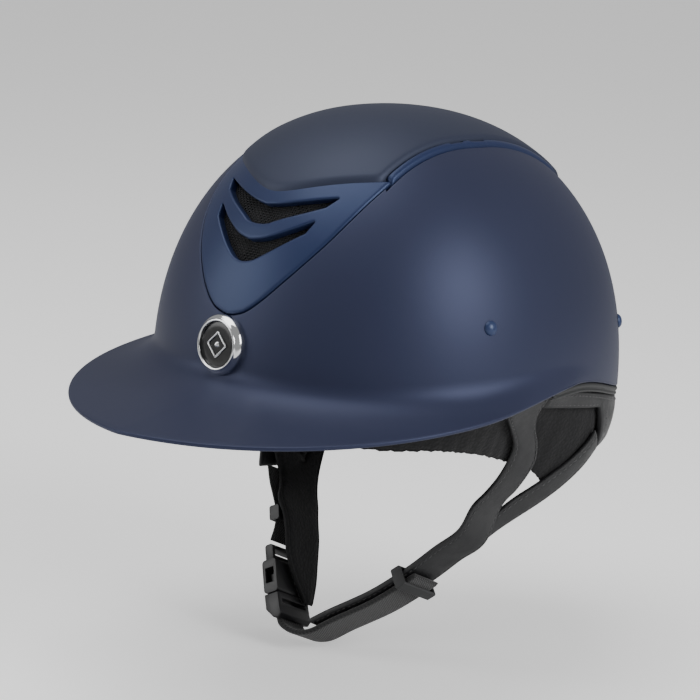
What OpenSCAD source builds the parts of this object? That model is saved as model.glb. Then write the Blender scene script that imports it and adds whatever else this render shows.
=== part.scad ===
// Equestrian riding helmet with a wide brim, a vented centre stripe and a quick-release chin strap.
// Frame: origin at the centre of the head opening, level with the shell's rear rim.
// +Z is up, -Y is the front of the helmet and +X is the wearer's left. Millimetres and degrees.

/* [Shell] */
// Half width of the dome, across the ears
half_w = 108; // [100:1:116]
// Dome centre to its foremost point
front_l = 112.6; // [108:0.2:118]
// Dome centre to its rearmost point
rear_l = 139.4; // [132:0.2:146]
// Height of the dome above its widest level
dome_h = 133.2; // [128:0.2:140]
// Wall of the shell
shell_t = 3.6; // [3.4:0.1:4]
// Reach of the brim in front of the dome
brim_reach = 64.5; // [40:0.5:66]
// Height of the rim's arch behind the ears
ear_arch = 17.4; // [8:0.2:20]

/* [Linings] */
// Thickness of the foam impact liner
foam_t = 18.5; // [15:0.5:20]
// Thickness of the comfort padding
pad_t = 6; // [4:0.5:7]

/* [Centre stripe] */
// Depth of the recess that holds the panels
recess = 2.6; // [2.4:0.1:2.8]
// Thickness of the vent panels
panel_t = 1.8; // [1.5:0.1:2]
// Height of the crown panel above the dome
crown_rise = 1.8; // [1:0.1:2.4]
// Gap along each panel seam
seam = 0.5; // [0.3:0.1:0.8]

/* [Harness] */
// Thickness of the leather-look straps
strap_t = 2.8; // [2:0.1:3.2]
// Width of the woven webbing
web_w = 20; // [18:1:22]
// Thickness of the webbing
web_t = 1.4; // [1:0.1:1.6]
// Width of the chin strap's padded cover
chin_w = 23; // [20:1:25]

/* [Hidden] */
$fn = 48;

eps = 0.01;
dome_y = -11.4;           // the dome's centre, along Y
dome_z = 8;               // the dome's widest level
front_n = 2.15;           // fullness of the plan outline, front and rear
rear_n = 2.05;
side_n = 2.17;            // fullness of the side outline
around = 60;              // steps around the dome
foam_out = 5.2;           // depth of the foam's outer face below the dome
foam_in = foam_out + foam_t;
pad_gap = 1.3;            // room for the fastener discs between foam and padding
pad_out = foam_in + pad_gap;
pad_in = pad_out + pad_t;

// ---- curves ----
function ease(a, b, x) = let(t = min(1, max(0, (x - a) / (b - a)))) t * t * (3 - 2 * t);
function mix(a, b, t) = a * (1 - t) + b * t;
function wrap(a) = let(m = abs(a) % 360) m > 180 ? 360 - m : m;
function unit(v) = v / norm(v);
function bezier(p, t) =
  p[0] * pow(1 - t, 3) + p[1] * 3 * t * pow(1 - t, 2) + p[2] * 3 * t * t * (1 - t) + p[3] * pow(t, 3);
// A smooth curve through the points p, with n steps between neighbours
function through(p, n = 6) = let(last = len(p) - 1)
  [for (i = [0:last - 1], k = [0:n - 1])
    let(a = p[max(0, i - 1)], b = p[i], c = p[i + 1], d = p[min(last, i + 2)], t = k / n)
    0.5 * (2 * b + (c - a) * t + (2 * a - 5 * b + 4 * c - d) * t * t + (3 * b - a - 3 * c + d) * t * t * t),
   p[last]];
function mirrored(p) = concat(p, [for (i = [len(p) - 1:-1:0]) if (abs(p[i][0]) > eps) [-p[i][0], p[i][1]]]);

// ---- the dome ----
// The dome point seen from its centre along v, at depth d below the outer face
function dome(v, d = 0) = let(
    b = (v[1] < 0 ? front_l : rear_l) - d, n = v[1] < 0 ? front_n : rear_n,
    plan = pow(abs(v[0]) / (half_w - d), n) + pow(abs(v[1]) / b, n),
    r = pow(pow(plan, side_n / n) + pow(abs(v[2]) / (dome_h - d), side_n), -1 / side_n))
  [0, dome_y, dome_z] + v * r;
// around is the bearing from the front, and up is the elevation
function at(bearing, up, d = 0) = dome([cos(up) * sin(bearing), -cos(up) * cos(bearing), sin(up)], d);
// The dome's outline at height z, at depth d
function level(bearing, z, d = 0) = let(
    k = pow(1 - pow(abs(z - dome_z) / (dome_h - d), side_n), 1 / side_n),
    b = (cos(bearing) > 0 ? front_l : rear_l) - d, n = cos(bearing) > 0 ? front_n : rear_n,
    r = k * pow(pow(abs(sin(bearing)) / (half_w - d), n) + pow(abs(cos(bearing)) / b, n), -1 / n))
  [r * sin(bearing), dome_y - r * cos(bearing), z];

// ---- the rim ----
brim_end = 118;           // bearing where the brim dies into the dome
brow_z = 4;               // height of the brim's edge at the front
function brim(bearing) = let(a = min(1, wrap(bearing) / brim_end)) brim_reach * pow(1 - pow(a, 1.28), 2);
function rim_z(bearing) = let(a = wrap(bearing))
  mix(brow_z, ear_arch, ease(10, 108, a)) - ear_arch * ease(103, 152, a);
function edge(bearing, d = 0) = let(
    p = level(bearing, rim_z(bearing)),
    out = unit([p[0], p[1] - dome_y, 0]))
  p + out * (brim(bearing) - d);
// Height of the curve that turns the dome out into the brim
function flare(bearing) = 8 + 15 * pow(brim(bearing) / brim_reach, 0.45);
flare_rows = 5;
lip_t = 2.4;              // thickness of the shell at its edge
dome_rows = 10;
// Elevation of the dome at height z, close to the rim
function up_at(bearing, z) = let(p = level(bearing, z)) atan2(z - dome_z, norm([p[0], p[1] - dome_y]));
// The shell's section at a bearing, from the apex to the edge
function section(bearing) = let(
    z1 = rim_z(bearing) + flare(bearing),
    top = up_at(bearing, z1),
    a = at(bearing, top), down = unit(at(bearing, top - 2) - a),
    b = edge(bearing), out = unit([b[0], b[1] - dome_y, 0]),
    w = brim(bearing), h = flare(bearing),
    pull = mix(0.33, 0.62, ease(0, 18, w)) * h,
    back = unit(out * ease(0, 20, w) + [0, 0, -1] * mix(1, 0.17, ease(0, 20, w))))
  concat([for (i = [1:dome_rows]) at(bearing, mix(90, top, i / dome_rows))],
    [for (i = [1:flare_rows])
      bezier([a, a + down * pull, b - back * max(0.33 * h, 0.62 * w), b], i / flare_rows)]);

function cross_unit(a, b) = let(c = cross(a, b)) norm(c) < 1e-9 ? [0, 0, 1] : unit(c);
// Rows of a skin, moved inwards by d along its normals, or by the lip's thickness along its edge
function inset_rows(g, d) = let(n = len(g), m = len(g[0]))
  [for (i = [0:n - 1]) [for (j = [0:m - 1])
    let(u = g[(i + 1) % n][j] - g[(i + n - 1) % n][j], v = g[i][min(m - 1, j + 1)] - g[i][max(0, j - 1)])
    g[i][j] - cross_unit(v, u) * (j == m - 1 ? lip_t : d)]];

// ---- solids from grids ----
function quad(a, b, c, d) = [[a, c, b], [a, d, c]];
function flat(l) = [for (a = l) each a];

// A cap between two skins that share their bearings. Each skin has a point at its apex.
module cap(outer, inner, top_out, top_in) {
  n = len(outer);
  m = len(outer[0]);
  s = n * m;
  faces = concat(
    flat([for (i = [0:n - 1], j = [0:m - 2]) let(k = (i + 1) % n)
      quad(i * m + j, i * m + j + 1, k * m + j + 1, k * m + j)]),
    flat([for (i = [0:n - 1], j = [0:m - 2]) let(k = (i + 1) % n)
      quad(s + i * m + j, s + k * m + j, s + k * m + j + 1, s + i * m + j + 1)]),
    flat([for (i = [0:n - 1]) let(k = (i + 1) % n)
      quad(i * m + m - 1, s + i * m + m - 1, s + k * m + m - 1, k * m + m - 1)]),
    [for (i = [0:n - 1]) [2 * s, ((i + 1) % n) * m, i * m]],
    [for (i = [0:n - 1]) [2 * s + 1, s + i * m, s + ((i + 1) % n) * m]]);
  polyhedron(concat(flat(outer), flat(inner), [top_out, top_in]), faces, 4);
}

// A sheet between two grids of the same size, each a list of rows. The second lies below the first.
module sheet(a, b, closed = false) {
  n = len(a);
  m = len(a[0]);
  s = n * m;
  last = closed ? n - 1 : n - 2;
  faces = concat(
    flat([for (i = [0:last], j = [0:m - 2]) let(k = (i + 1) % n)
      quad(i * m + j, i * m + j + 1, k * m + j + 1, k * m + j)]),
    flat([for (i = [0:last], j = [0:m - 2]) let(k = (i + 1) % n)
      quad(s + i * m + j, s + k * m + j, s + k * m + j + 1, s + i * m + j + 1)]),
    flat([for (i = [0:last]) let(k = (i + 1) % n)
      concat(quad(i * m + m - 1, s + i * m + m - 1, s + k * m + m - 1, k * m + m - 1),
        quad(k * m, s + k * m, s + i * m, i * m))]),
    closed ? [] : flat([for (j = [0:m - 2])
      concat(quad(j, s + j, s + j + 1, j + 1),
        quad((n - 1) * m + j + 1, s + (n - 1) * m + j + 1, s + (n - 1) * m + j, (n - 1) * m + j))]));
  polyhedron(concat(flat(a), flat(b)), faces, 4);
}

// Keeps a node of curved skins as one mesh
module one_mesh() {
  resize([0, 0, 0]) children();
}

bearings = [for (i = [0:around - 1]) i * 360 / around];

// The space below the dome at depth d, down to height z
module dome_body(d, z = -5) {
  rows = [for (a = bearings) let(top = up_at(a, z))
    [for (i = [1:dome_rows]) at(a, mix(90, top, i / dome_rows), d)]];
  cap(rows, [for (r = rows) [for (p = r) [p[0] * 0.02, p[1] * 0.02, z - 1]]], at(0, 90, d), [0, 0, z - 1]);
}

// ---- the front and rear vent panels' own planes ----
front_lean = 27.7;        // how far the front panel leans back
front_at = [0, -108, 85];
rear_lean = 29;
rear_at = [0, 112, 84];
module on_front() { translate(front_at) rotate([90 - front_lean, 0, 0]) children(); }
module on_rear() { translate(rear_at) rotate([90 - rear_lean, 0, 180]) children(); }

function shield(p, n = 5) = mirrored(through(p, n));
front_side = [[0, -36.5], [10, -33.5], [19, -26], [27.5, -15.4], [34.5, -4.8], [41.2, 8.2], [46, 23],
  [49, 38], [50, 48.5]];
rear_side = [[0, -30], [10, -27], [19, -19], [28, -7.5], [35, 5], [40.5, 18], [44.5, 31], [46.5, 42]];
// The crown panel's chevron edges, in the vent panels' planes
function chevron_v(u, v0, rise, soft) = v0 + rise * (sqrt(u * u + soft * soft) - soft);
front_crown_v = 29;
front_crown_rise = 0.5;
rear_crown_v = 21;
rear_crown_rise = 0.52;
chevron_soft = 10;
module below_chevron(v0, rise, w) {
  us = [for (u = [-w:4:w]) u];
  polygon(concat([[w, -80], [-w, -80]], [for (u = us) [u, chevron_v(u, v0, rise, chevron_soft)]]));
}
module front_outline() {
  intersection() {
    polygon(shield(front_side));
    below_chevron(front_crown_v, front_crown_rise, 64);
  }
}
module rear_outline() {
  intersection() {
    polygon(shield(rear_side));
    below_chevron(rear_crown_v, rear_crown_rise, 64);
  }
}

// Chevron vents: [upper edge, lower edge] in the panel's plane, from the centre to the tip
upper_vent = [[[0, 20], [8, 21.5], [20, 25.5], [35.5, 31.8]],
  [[0, 9.6], [6, 10.4], [12, 13.6], [23, 19.6], [32, 25.4]]];
lower_vent = [[[0, 1], [9, 3.2], [20, 9.4], [31, 17.2]],
  [[0, -10], [6, -8.6], [13, -3.8], [21, 3], [29, 10.2]]];
rear_vent = [[[0, 9], [8, 10.6], [19, 16.2], [32, 24]],
  [[0, -4], [6, -2.8], [12, 0.8], [21, 8], [29, 15.6]]];
module chevron(v) {
  upper = through(v[0], 4);
  half = concat(through(v[1], 4), [for (i = [len(upper) - 1:-1:0]) upper[i]]);
  polygon(half);
  mirror([1, 0]) polygon(half);
}

// ---- the stripe's footprint ----
crown_half = 46.5;        // half width of the crown panel
rail_w = 3.4;
stripe_half = crown_half + 2 * seam + rail_w;
stripe_front = -63;
stripe_rear = 66;
rear_narrow = 5;          // how much narrower the stripe is at its rear corners
module stripe_plan(w) {
  polygon([[-w, stripe_front], [w, stripe_front], [w, 0], [w - rear_narrow, stripe_rear],
    [rear_narrow - w, stripe_rear], [-w, 0]]);
}
// Everything above the stripe's footprint
module stripe_space() {
  on_front() linear_extrude(60, center = true) {
    polygon(shield(front_side));
    translate([-crown_half, 40]) square([2 * crown_half, 22]);
  }
  on_rear() linear_extrude(60, center = true) {
    polygon(shield(rear_side));
    translate([rear_narrow - crown_half, 36]) square([2 * (crown_half - rear_narrow), 22]);
  }
  translate([0, 0, 70]) linear_extrude(90) stripe_plan(stripe_half);
}
module crown_space() {
  difference() {
    translate([0, 0, 70]) linear_extrude(90) offset(r = 5) offset(delta = -5) polygon(
      [[-crown_half, -120], [crown_half, -120], [crown_half, 0], [crown_half - rear_narrow, stripe_rear],
       [crown_half - rear_narrow, 140], [rear_narrow - crown_half, 140],
       [rear_narrow - crown_half, stripe_rear], [-crown_half, 0]]);
    on_front() linear_extrude(120, center = true) below_chevron(front_crown_v + seam, front_crown_rise, 64);
    on_rear() linear_extrude(120, center = true) below_chevron(rear_crown_v + seam, rear_crown_rise, 64);
  }
}

collar = 1.2;             // wall around each vent
mesh_depth = 4.2;         // depth of the vent mesh below the dome
mesh_t = 0.6;
module vent_cuts(grow) {
  on_front() linear_extrude(90, center = true) offset(delta = grow) {
    chevron(upper_vent);
    chevron(lower_vent);
  }
  on_rear() linear_extrude(90, center = true) offset(delta = grow) chevron(rear_vent);
}

clip_r = 2;
clip_gap = 1;             // under the shell's wall
clip_spots = [[30, -48], [30, 0], [26, 44]];   // under the crown panel, in plan
module clip_places() {
  for (s = [-1, 1], c = clip_spots) let(p = dome(unit([s * c[0], c[1] - dome_y, 95])))
    translate(p) multmatrix(look(outward(p))) children();
}
// The dome's outward normal over a point
function outward(p) = let(
    v = unit(p - [0, dome_y, dome_z]), q = dome(v),
    s = unit(cross([0, 0, 1], v)), t = cross(v, s))
  unit(cross(dome(unit(v + 0.03 * s)) - q, dome(unit(v + 0.03 * t)) - q));
// Turns +Z to point along n
function look(n, up = [0, 1, 0.1]) = let(x = unit(cross(up, n)), y = cross(n, x))
  [[x[0], y[0], n[0], 0], [x[1], y[1], n[1], 0], [x[2], y[2], n[2], 0], [0, 0, 0, 1]];

// ---- the shell and its panels ----
module outer_shell() {
  rows = [for (a = bearings) section(a)];
  color("#27304c") one_mesh() difference() {
    cap(rows, inset_rows(rows, shell_t), at(0, 90), at(0, 90, shell_t));
    difference() {
      stripe_space();
      dome_body(recess);
    }
    vent_cuts(collar + 0.3);
    clip_places() cylinder(r = clip_r + 0.1, h = 20, center = true, $fn = 16);
    rivet_places() cylinder(r = rivet_r + 0.1, h = 30, center = true, $fn = 16);
  }
}

// A thin lining that covers the brim's underside and turns up inside the shell
lining_t = 1;
module brim_lining() {
  steps = [for (i = [-18:18]) i * 5];
  outer = [for (a = steps) let(s = section(a), m = len(s)) [for (j = [m - flare_rows - 1:m - 1]) s[j]]];
  n = len(outer);
  m = len(outer[0]);
  under = [for (i = [0:n - 1]) [for (j = [0:m - 1]) let(
      u = outer[min(n - 1, i + 1)][j] - outer[max(0, i - 1)][j],
      v = outer[i][min(m - 1, j + 1)] - outer[i][max(0, j - 1)],
      in = unit([-outer[i][j][0], dome_y - outer[i][j][1], 0]))
    outer[i][j] - cross_unit(v, u) * ((j == m - 1 ? lip_t : shell_t) + 0.15)
      + in * (j == m - 1 ? min(2.5, 0.4 * brim(steps[i])) : 0)]];
  color("#101113") one_mesh() sheet(under, [for (i = [0:n - 1]) [for (j = [0:m - 1]) let(
      u = under[min(n - 1, i + 1)][j] - under[max(0, i - 1)][j],
      v = under[i][min(m - 1, j + 1)] - under[i][max(0, j - 1)])
    under[i][j] - cross_unit(v, u) * lining_t]]);
}

// The round rubber bead along the rear edge
bead_r = 2.1;
bead_from = 95;
module rear_edge_bead() {
  steps = [for (a = [bead_from:3.4:360 - bead_from]) a];
  last = len(steps) - 1;
  sides = 8;
  rings = [for (i = [0:last]) let(a = steps[i], c = level(a, rim_z(a) - bead_r - 0.15, shell_t / 2 - 0.4),
      out = unit([c[0], c[1] - dome_y, 0]), r = bead_r * (i == 0 || i == last ? 0.5 : 1))
    [for (k = [0:sides - 1]) c + out * r * cos(k * 360 / sides) + [0, 0, r * sin(k * 360 / sides)]]];
  caps = [[for (k = [0:sides - 1]) sides - 1 - k], [for (k = [0:sides - 1]) last * sides + k]];
  walls = flat([for (i = [0:last - 1], k = [0:sides - 1]) let(q = (k + 1) % sides)
    quad(i * sides + k, (i + 1) * sides + k, (i + 1) * sides + q, i * sides + q)]);
  color("#303133") polyhedron(flat(rings), concat(caps, walls), 4);
}

module dome_layer(high, low) {
  difference() {
    dome_body(high, 40);
    dome_body(low, 39);
  }
}
module front_vent_panel() {
  color("#2a3862") one_mesh() difference() {
    union() {
      intersection() {
        dome_layer(0, panel_t);
        on_front() linear_extrude(70, center = true) offset(delta = -seam) front_outline();
      }
      intersection() {
        dome_layer(panel_t - 0.3, mesh_depth - 0.1);
        vent_cuts(collar);
        translate([-60, -160, 0]) cube([120, 150, 200]);
      }
    }
    vent_cuts(0);
  }
}
module rear_vent_panel() {
  color("#2a3862") one_mesh() difference() {
    union() {
      intersection() {
        dome_layer(0, panel_t);
        on_rear() linear_extrude(70, center = true) offset(delta = -seam) rear_outline();
      }
      intersection() {
        dome_layer(panel_t - 0.3, mesh_depth - 0.1);
        vent_cuts(collar);
        translate([-60, 10, 0]) cube([120, 150, 200]);
      }
    }
    vent_cuts(0);
  }
}
module vent_mesh() {
  color("#17181a") one_mesh() intersection() {
    dome_layer(mesh_depth, mesh_depth + mesh_t);
    children();
  }
}
module upper_vent_mesh() {
  vent_mesh() on_front() linear_extrude(90, center = true) offset(delta = collar - 0.1) chevron(upper_vent);
}
module lower_vent_mesh() {
  vent_mesh() on_front() linear_extrude(90, center = true) offset(delta = collar - 0.1) chevron(lower_vent);
}
module rear_vent_mesh() {
  vent_mesh() on_rear() linear_extrude(90, center = true) offset(delta = collar - 0.1) chevron(rear_vent);
}
module crown_panel() {
  color("#262d47") one_mesh() intersection() {
    dome_layer(-crown_rise, panel_t - crown_rise + 0.6);
    crown_space();
  }
}

// The rib between the crown panel and the side of the shell, with two air slots
slot_spots = [[-20, -10], [-5, 6]];
module rail(side) {
  ys = [for (y = [stripe_front + 4:6:stripe_rear]) y];
  function rail_x(y) = crown_half + seam - rear_narrow * max(0, y) / stripe_rear;
  function rail_row(y, d) = [for (x = [0, rail_w / 2, rail_w]) let(
      crest = x == rail_w / 2 ? 0.5 : 0, u = rail_x(y) + x)
    [side * u, y, foot_z(u, y, d - crest)]];
  high = [for (y = ys) rail_row(y, -0.6)];
  low = [for (y = ys) rail_row(y, recess - 0.15)];
  color("#2b3a63") one_mesh() difference() {
    if (side > 0) sheet(low, high);
    else sheet(high, low);
    for (s = slot_spots) translate([side * rail_x(0) - 1, s[0], 100]) cube([2, s[1] - s[0], 60]);
  }
}
// Height of the dome over a plan point, at depth d
function foot_z(x, y, d) = let(b = (y < dome_y ? front_l : rear_l) - d, n = y < dome_y ? front_n : rear_n,
    plan = pow(abs(x) / (half_w - d), n) + pow(abs(y - dome_y) / b, n))
  dome_z + (dome_h - d) * pow(1 - pow(plan, side_n / n), 1 / side_n);
module left_rail() { rail(1); }
module right_rail() { rail(-1); }

// Push clips that hold the crown panel to the shell
module panel_clips() {
  color("#1b1c1e") clip_places() {
    translate([0, 0, -shell_t - clip_gap - 1.2]) cylinder(r = 4.5, h = 1.2, $fn = 24);
    translate([0, 0, -shell_t - clip_gap - 0.1]) cylinder(r = clip_r, h = shell_t + clip_gap - 1.3, $fn = 24);
  }
}

// ---- linings ----
foam_lift = 3;            // foam stops this far above the shell's rim
foam_rows = 7;
module impact_liner() {
  function foam_row(a, d) = let(z = max(rim_z(a), 1) + foam_lift, top = up_at(a, z))
    [for (i = [1:foam_rows]) at(a, mix(90, top, i / foam_rows), d)];
  steps = [for (i = [0:35]) i * 10];
  color("#2b2c2e") one_mesh() difference() {
    cap([for (a = steps) foam_row(a, foam_out)], [for (a = steps) foam_row(a, foam_in)],
      at(0, 90, foam_out), at(0, 90, foam_in));
    difference() {
      vent_cuts(collar + 1.2);
      dome_body(foam_out + 9);
    }
    vent_channels();
    rivet_places() cylinder(r = washer_r + 1, h = 2 * (washer_depth + 3), center = true, $fn = 16);
    clip_places() cylinder(r = 5.5, h = 2 * (shell_t + clip_gap + 1.7), center = true, $fn = 12);
    fastener_places() cylinder(r = disc_r + 0.5, h = 12, $fn = 16);
  }
}
// Air ways through the foam: four from the front vents, four under the crown and two at the rear
crown_air_x = 16;
crown_air_y = [-30, 22];
module air_way() { cylinder(r = 5, h = 60, $fn = 12); }
module vent_channels() {
  on_front() for (p = [[-16, 20], [0, 15], [16, 20], [0, -4]]) translate([p[0], p[1], -40]) air_way();
  for (s = [-1, 1], y = crown_air_y) translate([s * crown_air_x, y, 90]) cylinder(r = 7, h = 60, $fn = 12);
  on_rear() for (u = [-12, 12]) translate([u, 7, -40]) air_way();
}

// The crown pad covers the top of the foam, in front of and behind the air ways
module crown_pad() {
  function pad_row(a, d) = [for (i = [1:5]) at(a, mix(90, 44, i / 5), d)];
  steps = [for (i = [0:29]) i * 12];
  color("#151618") one_mesh() difference() {
    cap([for (a = steps) pad_row(a, pad_out)], [for (a = steps) pad_row(a, pad_in)],
      at(0, 90, pad_out), at(0, 90, pad_in));
    for (s = [-1, 1], y = crown_air_y) translate([s * crown_air_x, y, 60]) cylinder(r = 9, h = 90, $fn = 12);
  }
}
band_top = 38;            // height of the headband's upper edge
module headband_pad() {
  steps = [for (i = [0:39]) i * 9];
  function band_row(a, d, squeeze) = let(z0 = max(rim_z(a), 1) + foam_lift - 2)
    [for (i = [0:4]) level(a, mix(z0 + squeeze, band_top - squeeze, i / 4), d)];
  color("#151618") one_mesh()
    sheet([for (a = steps) band_row(a, pad_in, 1.5)], [for (a = steps) band_row(a, pad_out, 0)], true);
}
module liner_fastener_discs() {
  color("#0e0f10") fastener_places() translate([0, 0, 0.2]) cylinder(r = disc_r, h = 0.9, $fn = 16);
}
// Pockets in the foam's inner face, each facing the head
disc_r = 7;
fastener_bearings = [27, 90, 153, 207, 270, 333];
module fastener_places() {
  for (a = fastener_bearings) let(p = level(a, 28, foam_in - 0.8))
    translate(p) multmatrix(look(-outward(p), [0, 0, 1])) children();
}

// ---- rivets and badge ----
rivet_r = 2.4;
washer_r = 7;
washer_depth = shell_t + 0.6;
// [bearing, height] of the harness rivets, on the left side
rivet_spots = [[72, 51.5], [142, 35.5]];
module rivet_places() {
  for (s = [-1, 1], r = rivet_spots) let(p = level(s * r[0], r[1]))
    translate(p) multmatrix(look(outward(p), [0, 0, 1])) children();
}
module harness_rivets() {
  color("#2c3b66") rivet_places() rotate_extrude($fn = 32)
    polygon([[0, 1.9], [1.6, 1.75], [2.8, 1.25], [3.5, 0.5], [3.6, 0.12], [rivet_r, 0.12],
      [rivet_r, -washer_depth - 1.6], [0, -washer_depth - 1.6]]);
}
module rivet_washers() {
  color("silver") rivet_places() translate([0, 0, -washer_depth - 1.2]) difference() {
    cylinder(r = washer_r, h = 1);
    translate([0, 0, -1]) cylinder(r = rivet_r + 0.05, h = 3);
  }
}

badge_at = level(0, 36);
badge_lean = 7;
badge_r = 14.5;
badge_base = 1.5;         // clears the curved brow
module on_badge() { translate(badge_at) rotate([90 - badge_lean, 0, 0]) children(); }
module badge_bezel() {
  color("silver") on_badge() rotate_extrude($fn = 96)
    polygon([[11.2, 3.6], [11.7, 4.2], [12.4, 4.3], [badge_r - 0.2, 2.2], [badge_r, 1.9], [badge_r, badge_base],
      [11.2, badge_base]]);
}
module badge_inlay() {
  color("#0c0c0e") on_badge() translate([0, 0, badge_base]) cylinder(r = 11.1, h = 2.9 - badge_base, $fn = 96);
}
// A plain diamond outline around a stud
motif_r = 6.4;
module badge_motif() {
  color("silver") on_badge() translate([0, 0, 2.9]) {
    difference() {
      cylinder(r = motif_r, h = 0.8, $fn = 4);
      translate([0, 0, -1]) cylinder(r = motif_r - 1.7, h = 3, $fn = 4);
    }
    cylinder(r = 1.5, h = 1, $fn = 24);
  }
}

// ---- harness ----
// The harness lies on a skin that is flush with the shell at the nape and narrows towards the jaw
function skin(bearing, z, d = 0) = let(
    a = wrap(bearing), w = ease(98, 128, a),
    side = 14.5 - (z > 0 ? 0.7 : 0.41) * z,
    nape = 0.8 + 0.012 * pow(max(0, -z - 6), 2))
  let(p = level(bearing, max(z, 0), mix(side, nape, w) + d)) [p[0], p[1], z];
// A patch of the skin between two edges, each a list of [bearing, height]
module skin_patch(a, b, d0, thick, side = 1, across = 3) {
  n = len(a);
  function row(i, d) = [for (k = [0:across]) let(p = mix(a[i], b[i], k / across)) skin(side * p[0], p[1], d)];
  out = [for (i = [0:n - 1]) row(i, d0)];
  in = [for (i = [0:n - 1]) row(i, d0 + thick)];
  if (side > 0) sheet(in, out);
  else sheet(out, in);
}
nape_from = 98.5;
window_rear = 125;        // bearing of the rear edge of the opening behind the ear
function nape_top(a) = rim_z(a) - 2 * bead_r - 0.4;
function nape_low(a) = let(w = wrap(a))
  mix(5.2 - 0.28 * (w - 100), mix(-24, -30, ease(140, 180, w)), ease(window_rear - 2, window_rear + 2.5, w));
module nape_band() {
  steps = [for (a = [nape_from:2.5:360 - nape_from]) a];
  function row(a, d) = [for (k = [0:4]) skin(a, mix(nape_top(a), nape_low(a), k / 4), d)];
  color("#2f3033") one_mesh() sheet([for (a = steps) row(a, 0)], [for (a = steps) row(a, strap_t)]);
}
// The soft black skirt between the head and the straps, from the temples round the nape
skirt_t = 2.4;
skirt_gap = 1.4;          // between the straps and the skirt
skirt_low = [[32, -9], [46, -11], [60, -11.5], [70, -13.5], [81, -17], [90, -21], [99, -25], [108, -29.5],
  [113, -35], [116.5, -39], [120, -36.5], [124, -29], [130, -25.5], [150, -26], [180, -28]];
module comfort_skirt() {
  half = through(skirt_low, 2);
  edge_line = concat(half, [for (i = [len(half) - 2:-1:0]) [360 - half[i][0], half[i][1]]]);
  function row(p, d) = [for (k = [0:2]) skin(p[0], mix(rim_z(p[0]) - 2, p[1], k / 2), strap_t + skirt_gap + d)];
  color("#0f0f11") one_mesh() sheet([for (p = edge_line) row(p, 0)], [for (p = edge_line) row(p, skirt_t)]);
}
// Edges of the left straps, each a list of [bearing, height]
front_strap_fore = [[80.5, 12], [82, 5], [87, -4], [92.5, -14], [94, -23], [92, -34], [87, -45],
  [82, -54.5]];
front_strap_aft = [[98.3, 12], [98.3, 2], [101.5, -8], [105, -17], [107, -24], [106, -32], [103.2, -40],
  [101.8, -54.5]];
rear_strap_top = [[101.6, -56], [107.6, -49], [113, -39.5], [117, -32.5], [120.8, -24.2],
  [122.7, -18.5], [123.3, -13]];
rear_strap_low = [[99, -69.5], [107, -59.5], [113, -50.5], [116, -44.5], [120.5, -33.5],
  [124.5, -27], [127, -24.3]];
module harness_strap(a, b, side, across) {
  color("#2d2e31") one_mesh() skin_patch(through(a, 3), through(b, 3), 0, strap_t, side, across);
}
module front_strap(side) { harness_strap(front_strap_fore, front_strap_aft, side, 3); }
module rear_strap(side) { harness_strap(rear_strap_low, rear_strap_top, side, 2); }
module left_front_strap() { front_strap(1); }
module left_rear_strap() { rear_strap(1); }
module right_front_strap() { front_strap(-1); }
module right_rear_strap() { rear_strap(-1); }

// ---- the chin strap's plane: u runs to the left and v up, and the strap's width is along the normal ----
jaw_at = [66, -11, -60];   // where the left straps meet, on the chin plane
chin_lean = 24.3;
module on_chin() { translate([0, jaw_at[1], jaw_at[2]]) rotate([90 - chin_lean, 0, 0]) children(); }
// A band of thickness t that follows a path in the chin plane, w wide
module band(path, t, w, off = 0) {
  p = through(path, 5);
  n = len(p);
  function side_of(i) = let(d = unit(p[min(n - 1, i + 1)] - p[max(0, i - 1)])) [-d[1], d[0]];
  translate([0, 0, off]) linear_extrude(w, center = true)
    polygon(concat([for (i = [0:n - 1]) p[i] + side_of(i) * t / 2],
      [for (i = [n - 1:-1:0]) p[i] - side_of(i) * t / 2]));
}

// Buckle: its own frame starts at the socket's mouth, with +X the way the plug leaves, +Y towards the face
// and +Z across the strap
hinge_at = [67.5, -2.5];  // where the chin strap folds, on the chin plane
swing_r = 116.7;          // from that fold to the buckle's mouth
buckle_tilt = 29.5;
buckle_at = hinge_at - swing_r * [cos(buckle_tilt), sin(buckle_tilt)];
module on_buckle() { on_chin() translate(buckle_at) rotate([0, 0, buckle_tilt - 90]) children(); }
buckle_w = 25;
buckle_t = 9;
socket_len = 18;
cavity_t = 5.4;
cavity_w = 20;
module rounded_block(x, y, z, r) {
  linear_extrude(z, center = true) offset(r = r) square([x - 2 * r, y - 2 * r], center = true);
}
module buckle_socket() {
  color("#1d1e20") on_buckle() {
    difference() {
      union() {
        translate([-socket_len / 2, 0, 0]) rounded_block(socket_len, buckle_t, buckle_w, 2);
        translate([-socket_len - 3.5, 0, 0]) rounded_block(10, 5, buckle_w - 2, 1.5);
      }
      translate([3 - socket_len / 2, 0, 0]) cube([socket_len, cavity_t, cavity_w], center = true);
      translate([-9.5, 0, 0]) cube([8, cavity_t, buckle_w + 2], center = true);
      translate([-socket_len - 4, 0, 0]) cube([3.4, 8, web_w - 1], center = true);
    }
  }
}
plug_gap = 0.4;
module buckle_plug() {
  color("#1d1e20") on_buckle() {
    difference() {
      translate([plug_gap + 7, 0, 0]) linear_extrude(buckle_w, center = true)
        polygon([[-7, -4.5], [1, -4.2], [6, 0], [7, 3.4], [5, 5.6], [1, 5], [-7, 4.5]]);
      translate([plug_gap + 4.6, 0, 0]) cube([2.6, 14, web_w - 1], center = true);
    }
    translate([plug_gap - 7, 0, 0]) cube([14, 2.6, 4.4], center = true);
  }
}
arm_root = plug_gap + 0.2;
arm_len = 13.2;
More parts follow.
